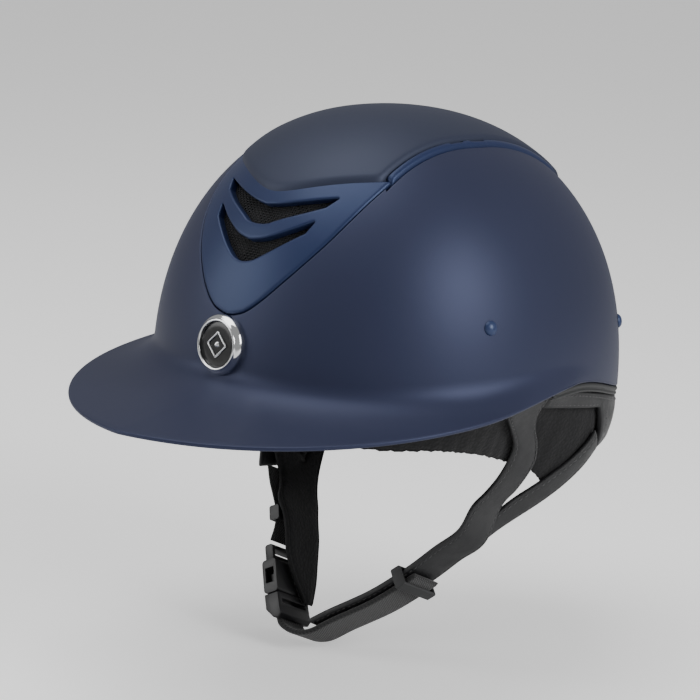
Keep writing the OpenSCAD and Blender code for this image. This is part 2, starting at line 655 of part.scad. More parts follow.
module latch_arm(side) {
  color("#232427") on_buckle() translate([arm_root, 0, side * 6]) mirror([0, 0, side < 0 ? 1 : 0])
    rotate([90, 0, 0]) linear_extrude(3.6, center = true)
      polygon([[-0.4, -1.6], [-0.4, 1.2], [-5, 1.6], [-6.2, 3.4], [-11.4, 3.4], [-arm_len, 1.2],
        [-arm_len, -0.4], [-11, -0.8]]);
}
module front_latch_arm() { latch_arm(1); }
module rear_latch_arm() { latch_arm(-1); }

// Webbing from the right Y down to the socket's bar
right_path = [[-67, 3], [-62, -5], [-55.5, -13], [-50.4, -20], [-48.4, -27], [-48.2, -34.5]];
module right_webbing() {
  color("#141517") on_chin() band(right_path, web_t, web_w);
}
module web_slider() {
  color("#1d1e20") on_chin() translate([-50.3, -20.2, 0]) rotate([0, 0, -64]) difference() {
    rounded_block(8, 6.2, web_w + 4, 1.2);
    cube([12, web_t + 2.2, web_w + 0.6], center = true);
  }
}
// The soft lining of the right straps: two arms under the skirt that join below the ear's hole, and a
// tongue between the buckle and the face. Each entry across it runs from the front edge to the rear edge.
flap_t = 2.4;
flap_top = [[88, -25], [94, -28.5], [98.5, -38], [102, -50], [108, -56.5], [112, -50], [115.5, -42.5], [122, -38],
  [128, -32]];
flap_middle = [[86.5, -56], [112, -61]];
flap_path = [[-50, -11.5], [-44.4, -19], [-40, -27], [-35.6, -38], [-31, -49], [-26.6, -60]];
flap_front = [13, 11.5, 10.5, 9, 3, -6];
flap_rear = [-20, -17.5, -17, -16.5, -15.5, -13];
function on_chin_at(u, v, n) = let(a = 90 - chin_lean)
  [u, jaw_at[1] + v * cos(a) - n * sin(a), jaw_at[2] + v * sin(a) + n * cos(a)];
function flap_point(k, in) = let(
    n = len(flap_top) - 1, top = flap_top[k],
    middle = mix(flap_middle[0], flap_middle[1], k / n),
    shift = [cos(30), sin(30)] * (in ? flap_t / 2 : -flap_t / 2),
    deep = strap_t + skirt_gap + (in ? flap_t : 0))
  concat([skin(-top[0], top[1], deep + 0.4)], [skin(-middle[0], middle[1], deep + 2.5)],
    [for (i = [0:len(flap_path) - 1]) let(c = flap_path[i] + shift)
      on_chin_at(c[0], c[1], mix(flap_front[i], flap_rear[i], k / n))]);
module right_strap_pad() {
  function side(in) = [for (k = [0:len(flap_top) - 1]) through(flap_point(k, in), 2)];
  color("#18191b") one_mesh() sheet(side(true), side(false));
}

// The chin strap: a padded cover on the inside and webbing on the outside
cover_path = [[68.5, -3], [57.6, -14.5], [44.9, -28.4], [27.3, -44.6], [5.2, -60.2], [-5, -68]];
module chin_strap_cover() {
  color("#2d2e31") on_chin() band(cover_path, strap_t + 0.4, chin_w);
}
web_path = [[50.1, -29.6], [30.1, -48], [7.8, -63.8], [-2.3, -71.5], [-8.5, -74.3], [-15, -75.3],
  [-20.5, -74.6], [-24.8, -72.9]];
chin_web_t = 2 * web_t;   // the webbing is doubled back on itself
module chin_webbing() {
  color("#141517") on_chin() band(web_path, chin_web_t, web_w);
}
module strap_keeper() {
  color("#202124") on_chin() translate([42.8, -33.5, 0]) rotate([0, 0, 42.6]) difference() {
    rounded_block(6, 11, chin_w + 3.4, 1);
    cube([12, 8.6, chin_w + 1], center = true);
  }
}

outer_shell();
brim_lining();
rear_edge_bead();
front_vent_panel();
upper_vent_mesh();
lower_vent_mesh();
crown_panel();
left_rail();
right_rail();
rear_vent_panel();
rear_vent_mesh();
panel_clips();
impact_liner();
crown_pad();
headband_pad();
liner_fastener_discs();
harness_rivets();
rivet_washers();
badge_bezel();
badge_inlay();
badge_motif();
comfort_skirt();
nape_band();
left_front_strap();
left_rear_strap();
right_front_strap();
right_rear_strap();
right_strap_pad();
right_webbing();
web_slider();
buckle_socket();
chin_strap_cover();
chin_webbing();
strap_keeper();
buckle_plug();
front_latch_arm();
rear_latch_arm();
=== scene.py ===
import math

import bmesh
import bpy
import numpy as np
from mathutils import Matrix, Vector
from mathutils.geometry import delaunay_2d_cdt


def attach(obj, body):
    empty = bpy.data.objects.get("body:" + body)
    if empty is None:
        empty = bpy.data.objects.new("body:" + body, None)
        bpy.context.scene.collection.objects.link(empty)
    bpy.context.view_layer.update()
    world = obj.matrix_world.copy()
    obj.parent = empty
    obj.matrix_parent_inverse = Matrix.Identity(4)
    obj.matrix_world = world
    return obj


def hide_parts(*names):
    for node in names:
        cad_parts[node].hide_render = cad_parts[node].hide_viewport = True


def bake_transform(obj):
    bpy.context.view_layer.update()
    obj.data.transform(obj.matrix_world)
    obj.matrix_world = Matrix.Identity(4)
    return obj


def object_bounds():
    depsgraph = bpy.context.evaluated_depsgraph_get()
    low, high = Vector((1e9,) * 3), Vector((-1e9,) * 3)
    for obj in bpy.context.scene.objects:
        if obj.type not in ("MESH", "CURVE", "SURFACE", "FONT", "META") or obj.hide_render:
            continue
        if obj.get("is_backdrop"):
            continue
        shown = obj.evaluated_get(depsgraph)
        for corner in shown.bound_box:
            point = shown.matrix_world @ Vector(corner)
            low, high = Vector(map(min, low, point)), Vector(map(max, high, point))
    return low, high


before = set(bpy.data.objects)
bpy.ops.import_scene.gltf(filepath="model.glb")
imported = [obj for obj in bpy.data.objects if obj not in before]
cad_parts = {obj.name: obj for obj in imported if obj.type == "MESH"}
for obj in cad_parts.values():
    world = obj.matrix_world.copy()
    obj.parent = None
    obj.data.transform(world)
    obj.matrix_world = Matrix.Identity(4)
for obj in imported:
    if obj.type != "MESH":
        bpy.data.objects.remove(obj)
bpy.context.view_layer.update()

# Riding helmet. Its smooth pieces are built on the dome's own formulas, in millimetres, and are turned to
# metres as meshes are made.
MM = 0.001

# ---- camera, at the photograph's angle ----
AZIMUTH = math.radians(42)
ELEVATION = math.radians(12.15)
ROLL = math.radians(2.62)
AIM = Vector((0, -0.0113, 0.018))
DISTANCE = 1.4
BACK = Vector((
    math.cos(ELEVATION) * math.sin(AZIMUTH),
    -math.cos(ELEVATION) * math.cos(AZIMUTH),
    math.sin(ELEVATION)))


def place_camera():
    level_right = Vector((math.cos(AZIMUTH), math.sin(AZIMUTH), 0))
    right = level_right * math.cos(ROLL) + BACK.cross(level_right) * math.sin(ROLL)
    up = BACK.cross(right)
    data = bpy.data.cameras.new("camera")
    data.lens = 142.7
    data.sensor_width = 36
    data.shift_x = -0.040
    data.shift_y = 0.003
    data.clip_start = 0.01
    camera = bpy.data.objects.new("camera", data)
    turn = Matrix((right, up, BACK)).transposed().to_4x4()
    camera.matrix_world = Matrix.Translation(AIM + BACK * DISTANCE) @ turn
    bpy.context.scene.collection.objects.link(camera)
    bpy.context.scene.camera = camera


place_camera()

# ---- the dome and its rim, by the same rules as the CAD part ----
HALF_W, FRONT_L, REAR_L, DOME_H = 108, 112.6, 139.4, 133.2
DOME_Y, DOME_Z = -11.4, 8
FRONT_N, REAR_N, SIDE_N = 2.15, 2.05, 2.17
SHELL_T = 3.6
BRIM_REACH, BRIM_END = 64.5, 118
BROW_Z, EAR_ARCH = 4, 17.4
FOAM_OUT, FOAM_IN, PAD_OUT = 5.2, 23.7, 25.0


def ease(a, b, x):
    t = np.clip((np.asarray(x, float) - a) / (b - a), 0, 1)
    return t * t * (3 - 2 * t)


def mix(a, b, t):
    return a * (1 - t) + b * t


def wrap(bearing):
    m = np.abs(np.asarray(bearing, float)) % 360
    return np.where(m > 180, 360 - m, m)


def unit(v):
    v = np.asarray(v, float)
    return v / np.maximum(np.linalg.norm(v, axis=-1, keepdims=True), 1e-12)


def dome(v, d=0.0):
    """The dome's point along direction v from its centre, at depth d."""
    v = np.asarray(v, float)
    front = v[..., 1] < 0
    b = np.where(front, FRONT_L, REAR_L) - d
    n = np.where(front, FRONT_N, REAR_N)
    plan = (np.abs(v[..., 0]) / (HALF_W - d)) ** n + (np.abs(v[..., 1]) / b) ** n
    r = (plan ** (SIDE_N / n) + (np.abs(v[..., 2]) / (DOME_H - d)) ** SIDE_N) ** (-1 / SIDE_N)
    return np.array([0, DOME_Y, DOME_Z]) + v * r[..., None]


def at(bearing, up, d=0.0):
    a, u = np.radians(bearing), np.radians(up)
    return dome(np.stack([np.cos(u) * np.sin(a), -np.cos(u) * np.cos(a), np.sin(u) + 0 * a], -1), d)


def level(bearing, z, d=0.0):
    """The dome's outline at height z and depth d."""
    a = np.radians(np.asarray(bearing, float))
    z = np.asarray(z, float)
    k = (1 - (np.abs(z - DOME_Z) / (DOME_H - d)) ** SIDE_N) ** (1 / SIDE_N)
    front = np.cos(a) > 0
    b = np.where(front, FRONT_L, REAR_L) - d
    n = np.where(front, FRONT_N, REAR_N)
    r = k * ((np.abs(np.sin(a)) / (HALF_W - d)) ** n + (np.abs(np.cos(a)) / b) ** n) ** (-1 / n)
    return np.stack([r * np.sin(a), DOME_Y - r * np.cos(a), z + 0 * a], -1)


def foot(xy, d=0.0):
    """The dome's point over a plan point, at depth d."""
    xy = np.asarray(xy, float)
    front = xy[..., 1] < DOME_Y
    b = np.where(front, FRONT_L, REAR_L) - d
    n = np.where(front, FRONT_N, REAR_N)
    plan = (np.abs(xy[..., 0]) / (HALF_W - d)) ** n + (np.abs(xy[..., 1] - DOME_Y) / b) ** n
    z = DOME_Z + (DOME_H - d) * np.maximum(1 - plan ** (SIDE_N / n), 0) ** (1 / SIDE_N)
    return np.concatenate([xy, z[..., None]], -1)


def inside_dome(p, d):
    front = p[..., 1] < DOME_Y
    b = np.where(front, FRONT_L, REAR_L) - d
    n = np.where(front, FRONT_N, REAR_N)
    plan = (np.abs(p[..., 0]) / (HALF_W - d)) ** n + (np.abs(p[..., 1] - DOME_Y) / b) ** n
    return plan ** (SIDE_N / n) + (np.abs(p[..., 2] - DOME_Z) / (DOME_H - d)) ** SIDE_N < 1


def brim(bearing):
    return BRIM_REACH * (1 - np.minimum(1, wrap(bearing) / BRIM_END) ** 1.28) ** 2


def rim_z(bearing):
    a = wrap(bearing)
    return mix(BROW_Z, EAR_ARCH, ease(10, 108, a)) - EAR_ARCH * ease(103, 152, a)


def outward(p):
    return unit(np.stack([p[..., 0], p[..., 1] - DOME_Y, 0 * p[..., 0]], -1))


def up_at(bearing, z):
    p = level(bearing, z)
    return np.degrees(np.arctan2(z - DOME_Z, np.hypot(p[..., 0], p[..., 1] - DOME_Y)))


def flare_curve(bearing, steps):
    """The curve that turns the dome out into the brim, and the dome's elevation where it starts."""
    w = brim(bearing)
    h = 8 + 15 * (w / BRIM_REACH) ** 0.45
    top = up_at(bearing, rim_z(bearing) + h)
    a = at(bearing, top)
    down = unit(at(bearing, top - 2) - a)
    p = level(bearing, rim_z(bearing))
    out = outward(p)
    b = p + out * w[..., None]
    pull = mix(0.33, 0.62, ease(0, 18, w)) * h
    k = ease(0, 20, w)[..., None]
    back = unit(out * k + np.array([0, 0, -1.0]) * mix(1, 0.17, k))
    length = np.maximum(0.33 * h, 0.62 * w)[..., None]
    q = [a, a + down * pull[..., None], b - back * length, b]
    t = np.linspace(0, 1, steps + 1)[1:, None, None]
    curve = q[0] * (1 - t) ** 3 + q[1] * 3 * t * (1 - t) ** 2 + q[2] * 3 * t * t * (1 - t) + q[3] * t ** 3
    return np.swapaxes(curve, 0, 1), top


def through(points, steps):
    """A smooth curve through the points, with the given number of steps between neighbours."""
    p = np.asarray(points, float)
    ext = np.concatenate([p[:1], p, p[-1:]])
    out = []
    for i in range(len(p) - 1):
        a, b, c, d = ext[i:i + 4]
        t = (np.arange(steps) / steps)[:, None]
        out.append(0.5 * (2 * b + (c - a) * t + (2 * a - 5 * b + 4 * c - d) * t ** 2
                          + (3 * b - a - 3 * c + d) * t ** 3))
    return np.concatenate(out + [p[-1:]])


def even(points, step):
    """The same line, with its points an even distance apart."""
    p = np.asarray(points, float)
    s = np.concatenate([[0], np.cumsum(np.linalg.norm(np.diff(p, axis=0), axis=1))])
    n = max(2, int(round(s[-1] / step)))
    return np.stack([np.interp(np.linspace(0, s[-1], n + 1), s, p[:, k]) for k in range(p.shape[1])], -1)


# ---- materials ----
class Look:
    """Builds one material's node tree."""

    def __init__(self, name):
        self.material = bpy.data.materials.new(name)
        self.material.use_nodes = True
        self.tree = self.material.node_tree
        self.shader = self.tree.nodes["Principled BSDF"]

    def add(self, kind, settings=None, **inputs):
        node = self.tree.nodes.new("ShaderNode" + kind)
        for key, value in (settings or {}).items():
            setattr(node, key, value)
        for key, value in inputs.items():
            self.put(node.inputs[key.replace("_", " ")], value)
        return node

    def put(self, socket, value):
        if isinstance(value, bpy.types.NodeSocket):
            self.tree.links.new(value, socket)
        else:
            socket.default_value = value

    def finish(self, **inputs):
        for key, value in inputs.items():
            self.put(self.shader.inputs[key.replace("_", " ")], value)
        return self.material

    def place(self, uv=False):
        return self.add("TexCoord").outputs["UV" if uv else "Object"]

    def ramp(self, value, low, high, start=0.0, end=1.0):
        node = self.add("MapRange", From_Min=start, From_Max=end, To_Min=low, To_Max=high)
        self.put(node.inputs["Value"], value)
        return node.outputs["Result"]

    def tint(self, value, dark, light):
        node = self.add("Mix", {"data_type": "RGBA"})
        self.put(node.inputs[0], value)
        node.inputs[6].default_value = (*dark, 1)
        node.inputs[7].default_value = (*light, 1)
        return node.outputs[2]

    def noise(self, where, scale, detail=3.0):
        return self.add("TexNoise", Vector=where, Scale=scale, Detail=detail).outputs[0]

    def bump(self, height, distance, strength=1.0, normal=None):
        node = self.add("Bump", Height=height, Distance=distance, Strength=strength)
        if normal is not None:
            self.put(node.inputs["Normal"], normal)
        return node.outputs["Normal"]


def paint(name, dark, light, rough, sheen):
    look = Look(name)
    where = look.place()
    cloud = look.noise(where, 14)
    grain = look.noise(where, 2600, 2)
    color = look.tint(cloud, dark, light)
    return look.finish(Base_Color=color, Roughness=look.ramp(cloud, rough - 0.03, rough + 0.03),
                       Specular_IOR_Level=0.5, Specular_Tint=sheen,
                       Normal=look.bump(grain, 0.00006, 0.5, look.bump(look.noise(where, 45), 0.0004, 0.25)))


def leather():
    look = Look("harness_leather")
    where = look.place()
    edges = look.add("TexVoronoi", {"feature": "DISTANCE_TO_EDGE"}, Vector=where, Scale=900.0)
    cells = edges.outputs["Distance"]
    folds = look.noise(where, 160, 4)
    color = look.tint(folds, (0.006, 0.006, 0.007), (0.017, 0.0175, 0.019))
    grain = look.bump(look.ramp(cells, 0, 1, 0, 0.25), 0.00008, 0.6)
    return look.finish(Base_Color=color, Roughness=look.ramp(folds, 0.42, 0.6, 0.3, 0.7),
                       Normal=look.bump(folds, 0.0003, 0.35, grain))


def woven(name, color, across, along, rough=0.85, depth=0.00025, uv=True):
    """Cloth woven at the given pitches, in millimetres. The UV map is in millimetres too."""
    look = Look(name)
    where = look.place(uv)
    parts = look.add("SeparateXYZ", Vector=where)
    waves = []
    for axis, pitch in (("X", across), ("Y", along)):
        scaled = look.add("Math", {"operation": "MULTIPLY"})
        look.put(scaled.inputs[0], parts.outputs[axis])
        scaled.inputs[1].default_value = 2 * math.pi / pitch
        waves.append(scaled.outputs[0])
    sines = []
    for wave in waves:
        node = look.add("Math", {"operation": "SINE"})
        look.put(node.inputs[0], wave)
        sines.append(node.outputs[0])
    product = look.add("Math", {"operation": "MULTIPLY"})
    look.put(product.inputs[0], sines[0])
    look.put(product.inputs[1], sines[1])
    height = look.ramp(product.outputs[0], 0, 1, -1, 1)
    fuzz = look.noise(where, 3.0 if uv else 2500, 4)
    # The low points of the weave are painted darker, down to 0.35 of the colour: painted shade between the
    # threads.
    dark = tuple(c * 0.35 for c in color)
    shade = look.tint(height, dark, color)
    return look.finish(Base_Color=shade, Roughness=look.ramp(fuzz, rough - 0.08, rough + 0.08),
                       Sheen_Weight=0.25, Sheen_Roughness=0.5,
                       Normal=look.bump(height, depth, 0.9, look.bump(fuzz, 0.0001, 0.3)))


def knit():
    look = Look("pad_knit")
    where = look.place()
    cells = look.add("TexVoronoi", Vector=where, Scale=620.0).outputs["Distance"]
    cloud = look.noise(where, 60, 3)
    color = look.tint(cells, (0.006, 0.006, 0.007), (0.002, 0.002, 0.0025))
    return look.finish(Base_Color=color, Roughness=look.ramp(cloud, 0.86, 0.97), Sheen_Weight=0.05,
                       Sheen_Roughness=0.5, Normal=look.bump(cells, 0.0004, 0.8))


def plastic(name, color, rough, grain_scale=1400, grain=0.00006):
    look = Look(name)
    where = look.place()
    fine = look.noise(where, grain_scale, 3)
    cloud = look.noise(where, 35, 2)
    shade = look.tint(cloud, tuple(c * 0.85 for c in color), color)
    return look.finish(Base_Color=shade, Roughness=look.ramp(cloud, rough - 0.05, rough + 0.05),
                       Normal=look.bump(fine, grain, 0.6))


def foam():
    look = Look("beaded_foam")
    where = look.place()
    beads = look.add("TexVoronoi", {"feature": "F1"}, Vector=where, Scale=330.0).outputs["Distance"]
    # Each bead is painted lighter at its middle and darker towards its rim, where the bump sinks: painted
    # shade in the grooves between the beads.
    color = look.tint(beads, (0.022, 0.022, 0.024), (0.009, 0.009, 0.01))
    return look.finish(Base_Color=color, Roughness=look.ramp(beads, 0.55, 0.8),
                       Normal=look.bump(beads, -0.0006, 0.6))


def metal(name, color, rough):
    look = Look(name)
    where = look.place()
    cloud = look.noise(where, 90, 3)
    scratch = look.noise(where, 1800, 4)
    return look.finish(Base_Color=look.tint(cloud, tuple(c * 0.93 for c in color), color), Metallic=1.0,
                       Roughness=look.ramp(cloud, rough * 0.7, rough * 1.3, 0.3, 0.7),
                       Normal=look.bump(scratch, 0.00001, 0.3))


def felt():
    look = Look("brim_felt")
    where = look.place()
    fibres = look.noise(where, 1500, 6)
    return look.finish(Base_Color=look.tint(fibres, (0.004, 0.004, 0.005), (0.013, 0.013, 0.014)),
                       Roughness=look.ramp(fibres, 0.88, 0.98), Sheen_Weight=0.2,
                       Sheen_Roughness=0.6, Normal=look.bump(fibres, 0.0003, 0.7))


NAVY = paint("shell_navy", (0.018, 0.021, 0.043), (0.021, 0.024, 0.050), 0.47, (0.54, 0.62, 1.0, 1))
CROWN = paint("crown_navy", (0.019, 0.022, 0.040), (0.022, 0.026, 0.046), 0.52, (0.62, 0.72, 1.0, 1))
SATIN = paint("panel_satin", (0.013, 0.020, 0.058), (0.015, 0.023, 0.066), 0.38, (0.48, 0.62, 1.0, 1))
RIVET = paint("rivet_satin", (0.02, 0.032, 0.085), (0.024, 0.038, 0.1), 0.33, (0.7, 0.8, 1.0, 1))
LEATHER = leather()
THREAD = woven("thread", (0.05, 0.05, 0.052), 0.5, 0.5, 0.6, 0.0001, False)
WEBBING = woven("webbing_weave", (0.014, 0.014, 0.015), 1.5, 2.2)
KNIT = knit()
HARD = plastic("black_moulding", (0.008, 0.008, 0.009), 0.42)
RUBBER = plastic("edge_rubber_dark", (0.026, 0.027, 0.028), 0.58, 900, 0.00012)
FOAM = foam()
CHROME = metal("badge_chrome", (0.86, 0.87, 0.88), 0.09)
STEEL = metal("washer_steel", (0.55, 0.55, 0.56), 0.3)
INLAY = plastic("inlay_black", (0.006, 0.006, 0.007), 0.25, 2200, 0.00002)
FELT = felt()
WIRE = plastic("mesh_wire", (0.010, 0.0105, 0.012), 0.5)


# ---- meshes ----
def piece(name, points, faces, look, body, slot, nodes=(), uv=None, sharp=None):
    """A mesh from points in millimetres, riding on a body and standing for CAD nodes."""
    mesh = bpy.data.meshes.new(name)
    mesh.from_pydata((np.asarray(points, float).reshape(-1, 3) * MM).tolist(), [], [list(f) for f in faces])
    mesh.validate()
    mesh.update()
    mesh.polygons.foreach_set("use_smooth", [True] * len(mesh.polygons))
    if sharp is not None:
        mesh.set_sharp_from_angle(angle=math.radians(sharp))
    if uv is not None:
        layer = mesh.uv_layers.new(name="UVMap")
        spots = np.asarray(uv, float).reshape(-1, 2)
        index = np.zeros(len(mesh.loops), int)
        mesh.loops.foreach_get("vertex_index", index)
        layer.data.foreach_set("uv", spots[index].ravel())
    mesh.materials.append(look)
    obj = bpy.data.objects.new(name, mesh)
    bpy.context.scene.collection.objects.link(obj)
    if body:
        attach(obj, body)
    if nodes:
        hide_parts(*nodes)
    return obj


def outside(obj):
    """Turns the faces to look outwards."""
    work = bmesh.new()
    work.from_mesh(obj.data)
    bmesh.ops.recalc_face_normals(work, faces=work.faces)
    work.to_mesh(obj.data)
    work.free()
    return obj


def grid_faces(rows, cols, wrap_rows=False, wrap_cols=False, start=0):
    i, j = np.meshgrid(np.arange(rows if wrap_rows else rows - 1), np.arange(cols if wrap_cols else cols - 1),
                       indexing="ij")
    k, q = (i + 1) % rows, (j + 1) % cols
    f = np.stack([i * cols + j, i * cols + q, k * cols + q, k * cols + j], -1).reshape(-1, 4)
    return (f + start).tolist()


def grid_normals(g, wrap_rows=False, wrap_cols=False):
    du = np.roll(g, -1, 0) - np.roll(g, 1, 0)
    dv = np.roll(g, -1, 1) - np.roll(g, 1, 1)
    if not wrap_rows:
        du[0], du[-1] = g[1] - g[0], g[-1] - g[-2]
    if not wrap_cols:
        dv[:, 0], dv[:, -1] = g[:, 1] - g[:, 0], g[:, -1] - g[:, -2]
    return unit(np.cross(du, dv))


def rounding(e, r):
    """How far a rounded edge of radius r has fallen, at distance e from the edge."""
    k = np.clip(1 - np.asarray(e, float) / r, 0, 1)
    return r * (1 - np.sqrt(np.maximum(1 - k * k, 0)))


# ---- the stripe: planes and outlines ----
class Plane:
    """A tilted plane whose prisms cut the dome."""

    def __init__(self, spot, lean, rear):
        t = math.radians(90 - lean)
        s = -1 if rear else 1
        self.spot = np.array(spot, float)
        self.u = np.array([s, 0, 0.0])
        self.v = np.array([0, s * math.cos(t), math.sin(t)])
        self.w = np.array([0, -s * math.sin(t), math.cos(t)])

    def on_dome(self, uv, d=0.0):
        uv = np.asarray(uv, float)
        d = np.broadcast_to(np.asarray(d, float), uv.shape[:-1])
        base = self.spot + uv[..., :1] * self.u + uv[..., 1:] * self.v
        low, high = np.full(uv.shape[:-1], -45.0), np.full(uv.shape[:-1], 45.0)
        for _ in range(36):
            half = (low + high) / 2
            within = inside_dome(base + half[..., None] * self.w, d)
            low = np.where(within, half, low)
            high = np.where(within, high, half)
        return base + ((low + high) / 2)[..., None] * self.w


FRONT = Plane([0, -108, 85], 27.7, False)
REAR = Plane([0, 112, 84], 29, True)
# The panels' right-hand outlines, and the vents' upper and lower edges, in each plane
FRONT_SIDE = [[0, -36.5], [10, -33.5], [19, -26], [27.5, -15.4], [34.5, -4.8], [41.2, 8.2], [46, 23],
              [49, 38], [50, 48.5]]
REAR_SIDE = [[0, -30], [10, -27], [19, -19], [28, -7.5], [35, 5], [40.5, 18], [44.5, 31], [46.5, 42]]
FRONT_CHEVRON, REAR_CHEVRON = (29, 0.5), (21, 0.52)
SOFT = 10
UPPER = [[[0, 20], [8, 21.5], [20, 25.5], [35.5, 31.8]],
         [[0, 9.6], [6, 10.4], [12, 13.6], [23, 19.6], [32, 25.4]]]
LOWER = [[[0, 1], [9, 3.2], [20, 9.4], [31, 17.2]],
         [[0, -10], [6, -8.6], [13, -3.8], [21, 3], [29, 10.2]]]
BACK_VENT = [[[0, 9], [8, 10.6], [19, 16.2], [32, 24]],
             [[0, -4], [6, -2.8], [12, 0.8], [21, 8], [29, 15.6]]]
CROWN_HALF, RAIL_W, SEAM, RECESS = 46.5, 3.4, 0.5, 2.6
STRIPE_FRONT, STRIPE_REAR, REAR_NARROW = -63, 66, 5
MESH_DEPTH = 4.2
VENT_PLANES = ((FRONT, (UPPER, LOWER), True), (REAR, (BACK_VENT,), False))
# Plan positions of the air holes under the crown
AIR_HOLES = [(side * 16, y) for side in (-1, 1) for y in (-30, 22)]


def chevron_v(u, chevron):
    return chevron[0] + chevron[1] * (np.sqrt(u * u + SOFT * SOFT) - SOFT)


def round_corners(loop, radius, step):
    """A closed outline with its sharp corners eased, by smoothing along its length."""
    p = even(np.concatenate([loop, loop[:1]]), step)[:-1]
    for _ in range(int((radius / step) ** 2)):
        p = 0.25 * np.roll(p, 1, 0) + 0.5 * p + 0.25 * np.roll(p, -1, 0)
    return p


def panel_outline(side, chevron):
    """The vent panel's outline: a shield cut off by the crown's chevron edge."""
    right = even(through(side, 16), 0.5)
    right = right[right[:, 1] < chevron_v(right[:, 0], chevron)]
    tip = right[-1, 0]
    top = np.linspace(tip, -tip, 161)[:, None]
    top = np.concatenate([top, chevron_v(top, chevron)], -1)
    left = right[::-1] * [-1, 1]
    return np.concatenate([right, top[1:-1], left[:-1]])


def vent_outline(vent, radius=0.8):
    """A chevron-shaped vent, from its upper and lower edges."""
    high, low = through(vent[0], 12), through(vent[1], 12)
    half = np.concatenate([low, high[::-1]])
    other = (half * [-1, 1])[::-1]
    return round_corners(np.concatenate([half, other[1:-1]]), radius, 0.5)


def rail_x(y):
    return CROWN_HALF + SEAM - REAR_NARROW * np.maximum(0, y) / STRIPE_REAR


def edge_distance(p, loops):
    """Distance from each point to the nearest of the closed outlines."""
    best = np.full(len(p), 1e9)
    for loop in loops:
        a, b = loop, np.roll(loop, -1, 0)
        ab = b - a
        for block in range(0, len(p), 2000):
            q = p[block:block + 2000, None]
            t = np.clip(((q - a) * ab).sum(-1) / np.maximum((ab * ab).sum(-1), 1e-9), 0, 1)
            dist = np.linalg.norm(q - a - t[..., None] * ab, axis=-1).min(1)
            best[block:block + 2000] = np.minimum(best[block:block + 2000], dist)
    return best


def in_loop(p, loop):
    a, b = loop, np.roll(loop, -1, 0)
    hits = np.zeros(len(p), int)
    for block in range(0, len(p), 4000):
        q = p[block:block + 4000, None]
        crosses = (a[:, 1] > q[..., 1]) != (b[:, 1] > q[..., 1])
        rise = np.where(np.abs(b[:, 1] - a[:, 1]) < 1e-12, 1e-12, b[:, 1] - a[:, 1])
        x = a[:, 0] + (q[..., 1] - a[:, 1]) * (b[:, 0] - a[:, 0]) / rise
        hits[block:block + 4000] = (crosses & (q[..., 0] < x)).sum(1)
    return hits % 2 == 1


def grown(loop, d):
    """The outline moved outwards by d, along its normals. Points that crowd together are dropped."""
    tangent = unit(np.roll(loop, -1, 0) - np.roll(loop, 1, 0))
    normal = np.stack([tangent[:, 1], -tangent[:, 0]], -1)
    area = np.cross(loop, np.roll(loop, -1, 0)).sum()
    p = loop + normal * d * (1 if area > 0 else -1)
    return p[edge_distance(p, [loop]) > abs(d) * 0.93]


def plan_grid(outline, pitch):
    """A square grid of points over an outline's box."""
    low, high = outline.min(0), outline.max(0)
    across = np.meshgrid(np.arange(low[0], high[0], pitch), np.arange(low[1], high[1], pitch))
    return np.stack(across, -1).reshape(-1, 2)


def triangulate(outline, holes, free):
    """Triangles over an outline with holes. owner maps each point given to its place in the result."""
    loops = [outline, *holes]
    points = np.concatenate(loops + [free])
    edges = []
    start = 0
    for loop in loops:
        n = len(loop)
        edges += [(start + i, start + (i + 1) % n) for i in range(n)]
        start += n
    made = delaunay_2d_cdt([Vector(p) for p in points.tolist()], edges, [], 0, 1e-5)
    verts = np.array([tuple(v) for v in made[0]])
    faces = np.array([f for f in made[2] if len(f) == 3])
    centre = verts[faces].mean(1)
    keep = in_loop(centre, outline)
    for hole in holes:
        keep &= ~in_loop(centre, hole)
    owner = {}
    for k, origins in enumerate(made[3]):
        for o in origins:
            owner[o] = k
    return verts, faces[keep], owner


def plate(outline, holes, lift, depth, wall, hole_wall, round_r, pitch=2.0):
    """A plate with rounded edges that follows the dome. lift(uv, depth) places its points."""
    loops = [outline, *holes]
    ring_gaps = [0.12 * round_r, 0.35 * round_r, 0.65 * round_r, round_r, 1.7 * round_r]
    rings = []
    for loop, sign in [(outline, -1)] + [(h, 1) for h in holes]:
        for gap in ring_gaps:
            rings.append((grown(loop, sign * gap), gap))
    clear = [p[edge_distance(p, loops) > 0.9 * gap] for p, gap in rings]
    grid = plan_grid(outline, pitch)
    grid = grid[edge_distance(grid, loops) > 1.7 * round_r + 0.6 * pitch]
    free = np.concatenate(clear + [grid])
    free = free[in_loop(free, outline)]
    for hole in holes:
        free = free[~in_loop(free, hole)]
    verts, faces, owner = triangulate(outline, holes, free)
    fall = rounding(edge_distance(verts, loops), round_r)
    solid = [lift(verts, depth + fall)]
    count = len(verts)
    all_faces = faces.tolist()
    start = 0
    for n, loop in enumerate(loops):
        size = len(loop)
        ring = [owner[start + i] for i in range(size)]
        start += size
        for deep in np.linspace(round_r, wall if n == 0 else hole_wall, 4)[1:]:
            solid.append(lift(loop, depth + deep))
            lower = list(range(count, count + size))
            count += size
            for i in range(size):
                k = (i + 1) % size
                all_faces.append([ring[i], lower[i], lower[k], ring[k]])
            ring = lower
    return np.concatenate(solid), all_faces


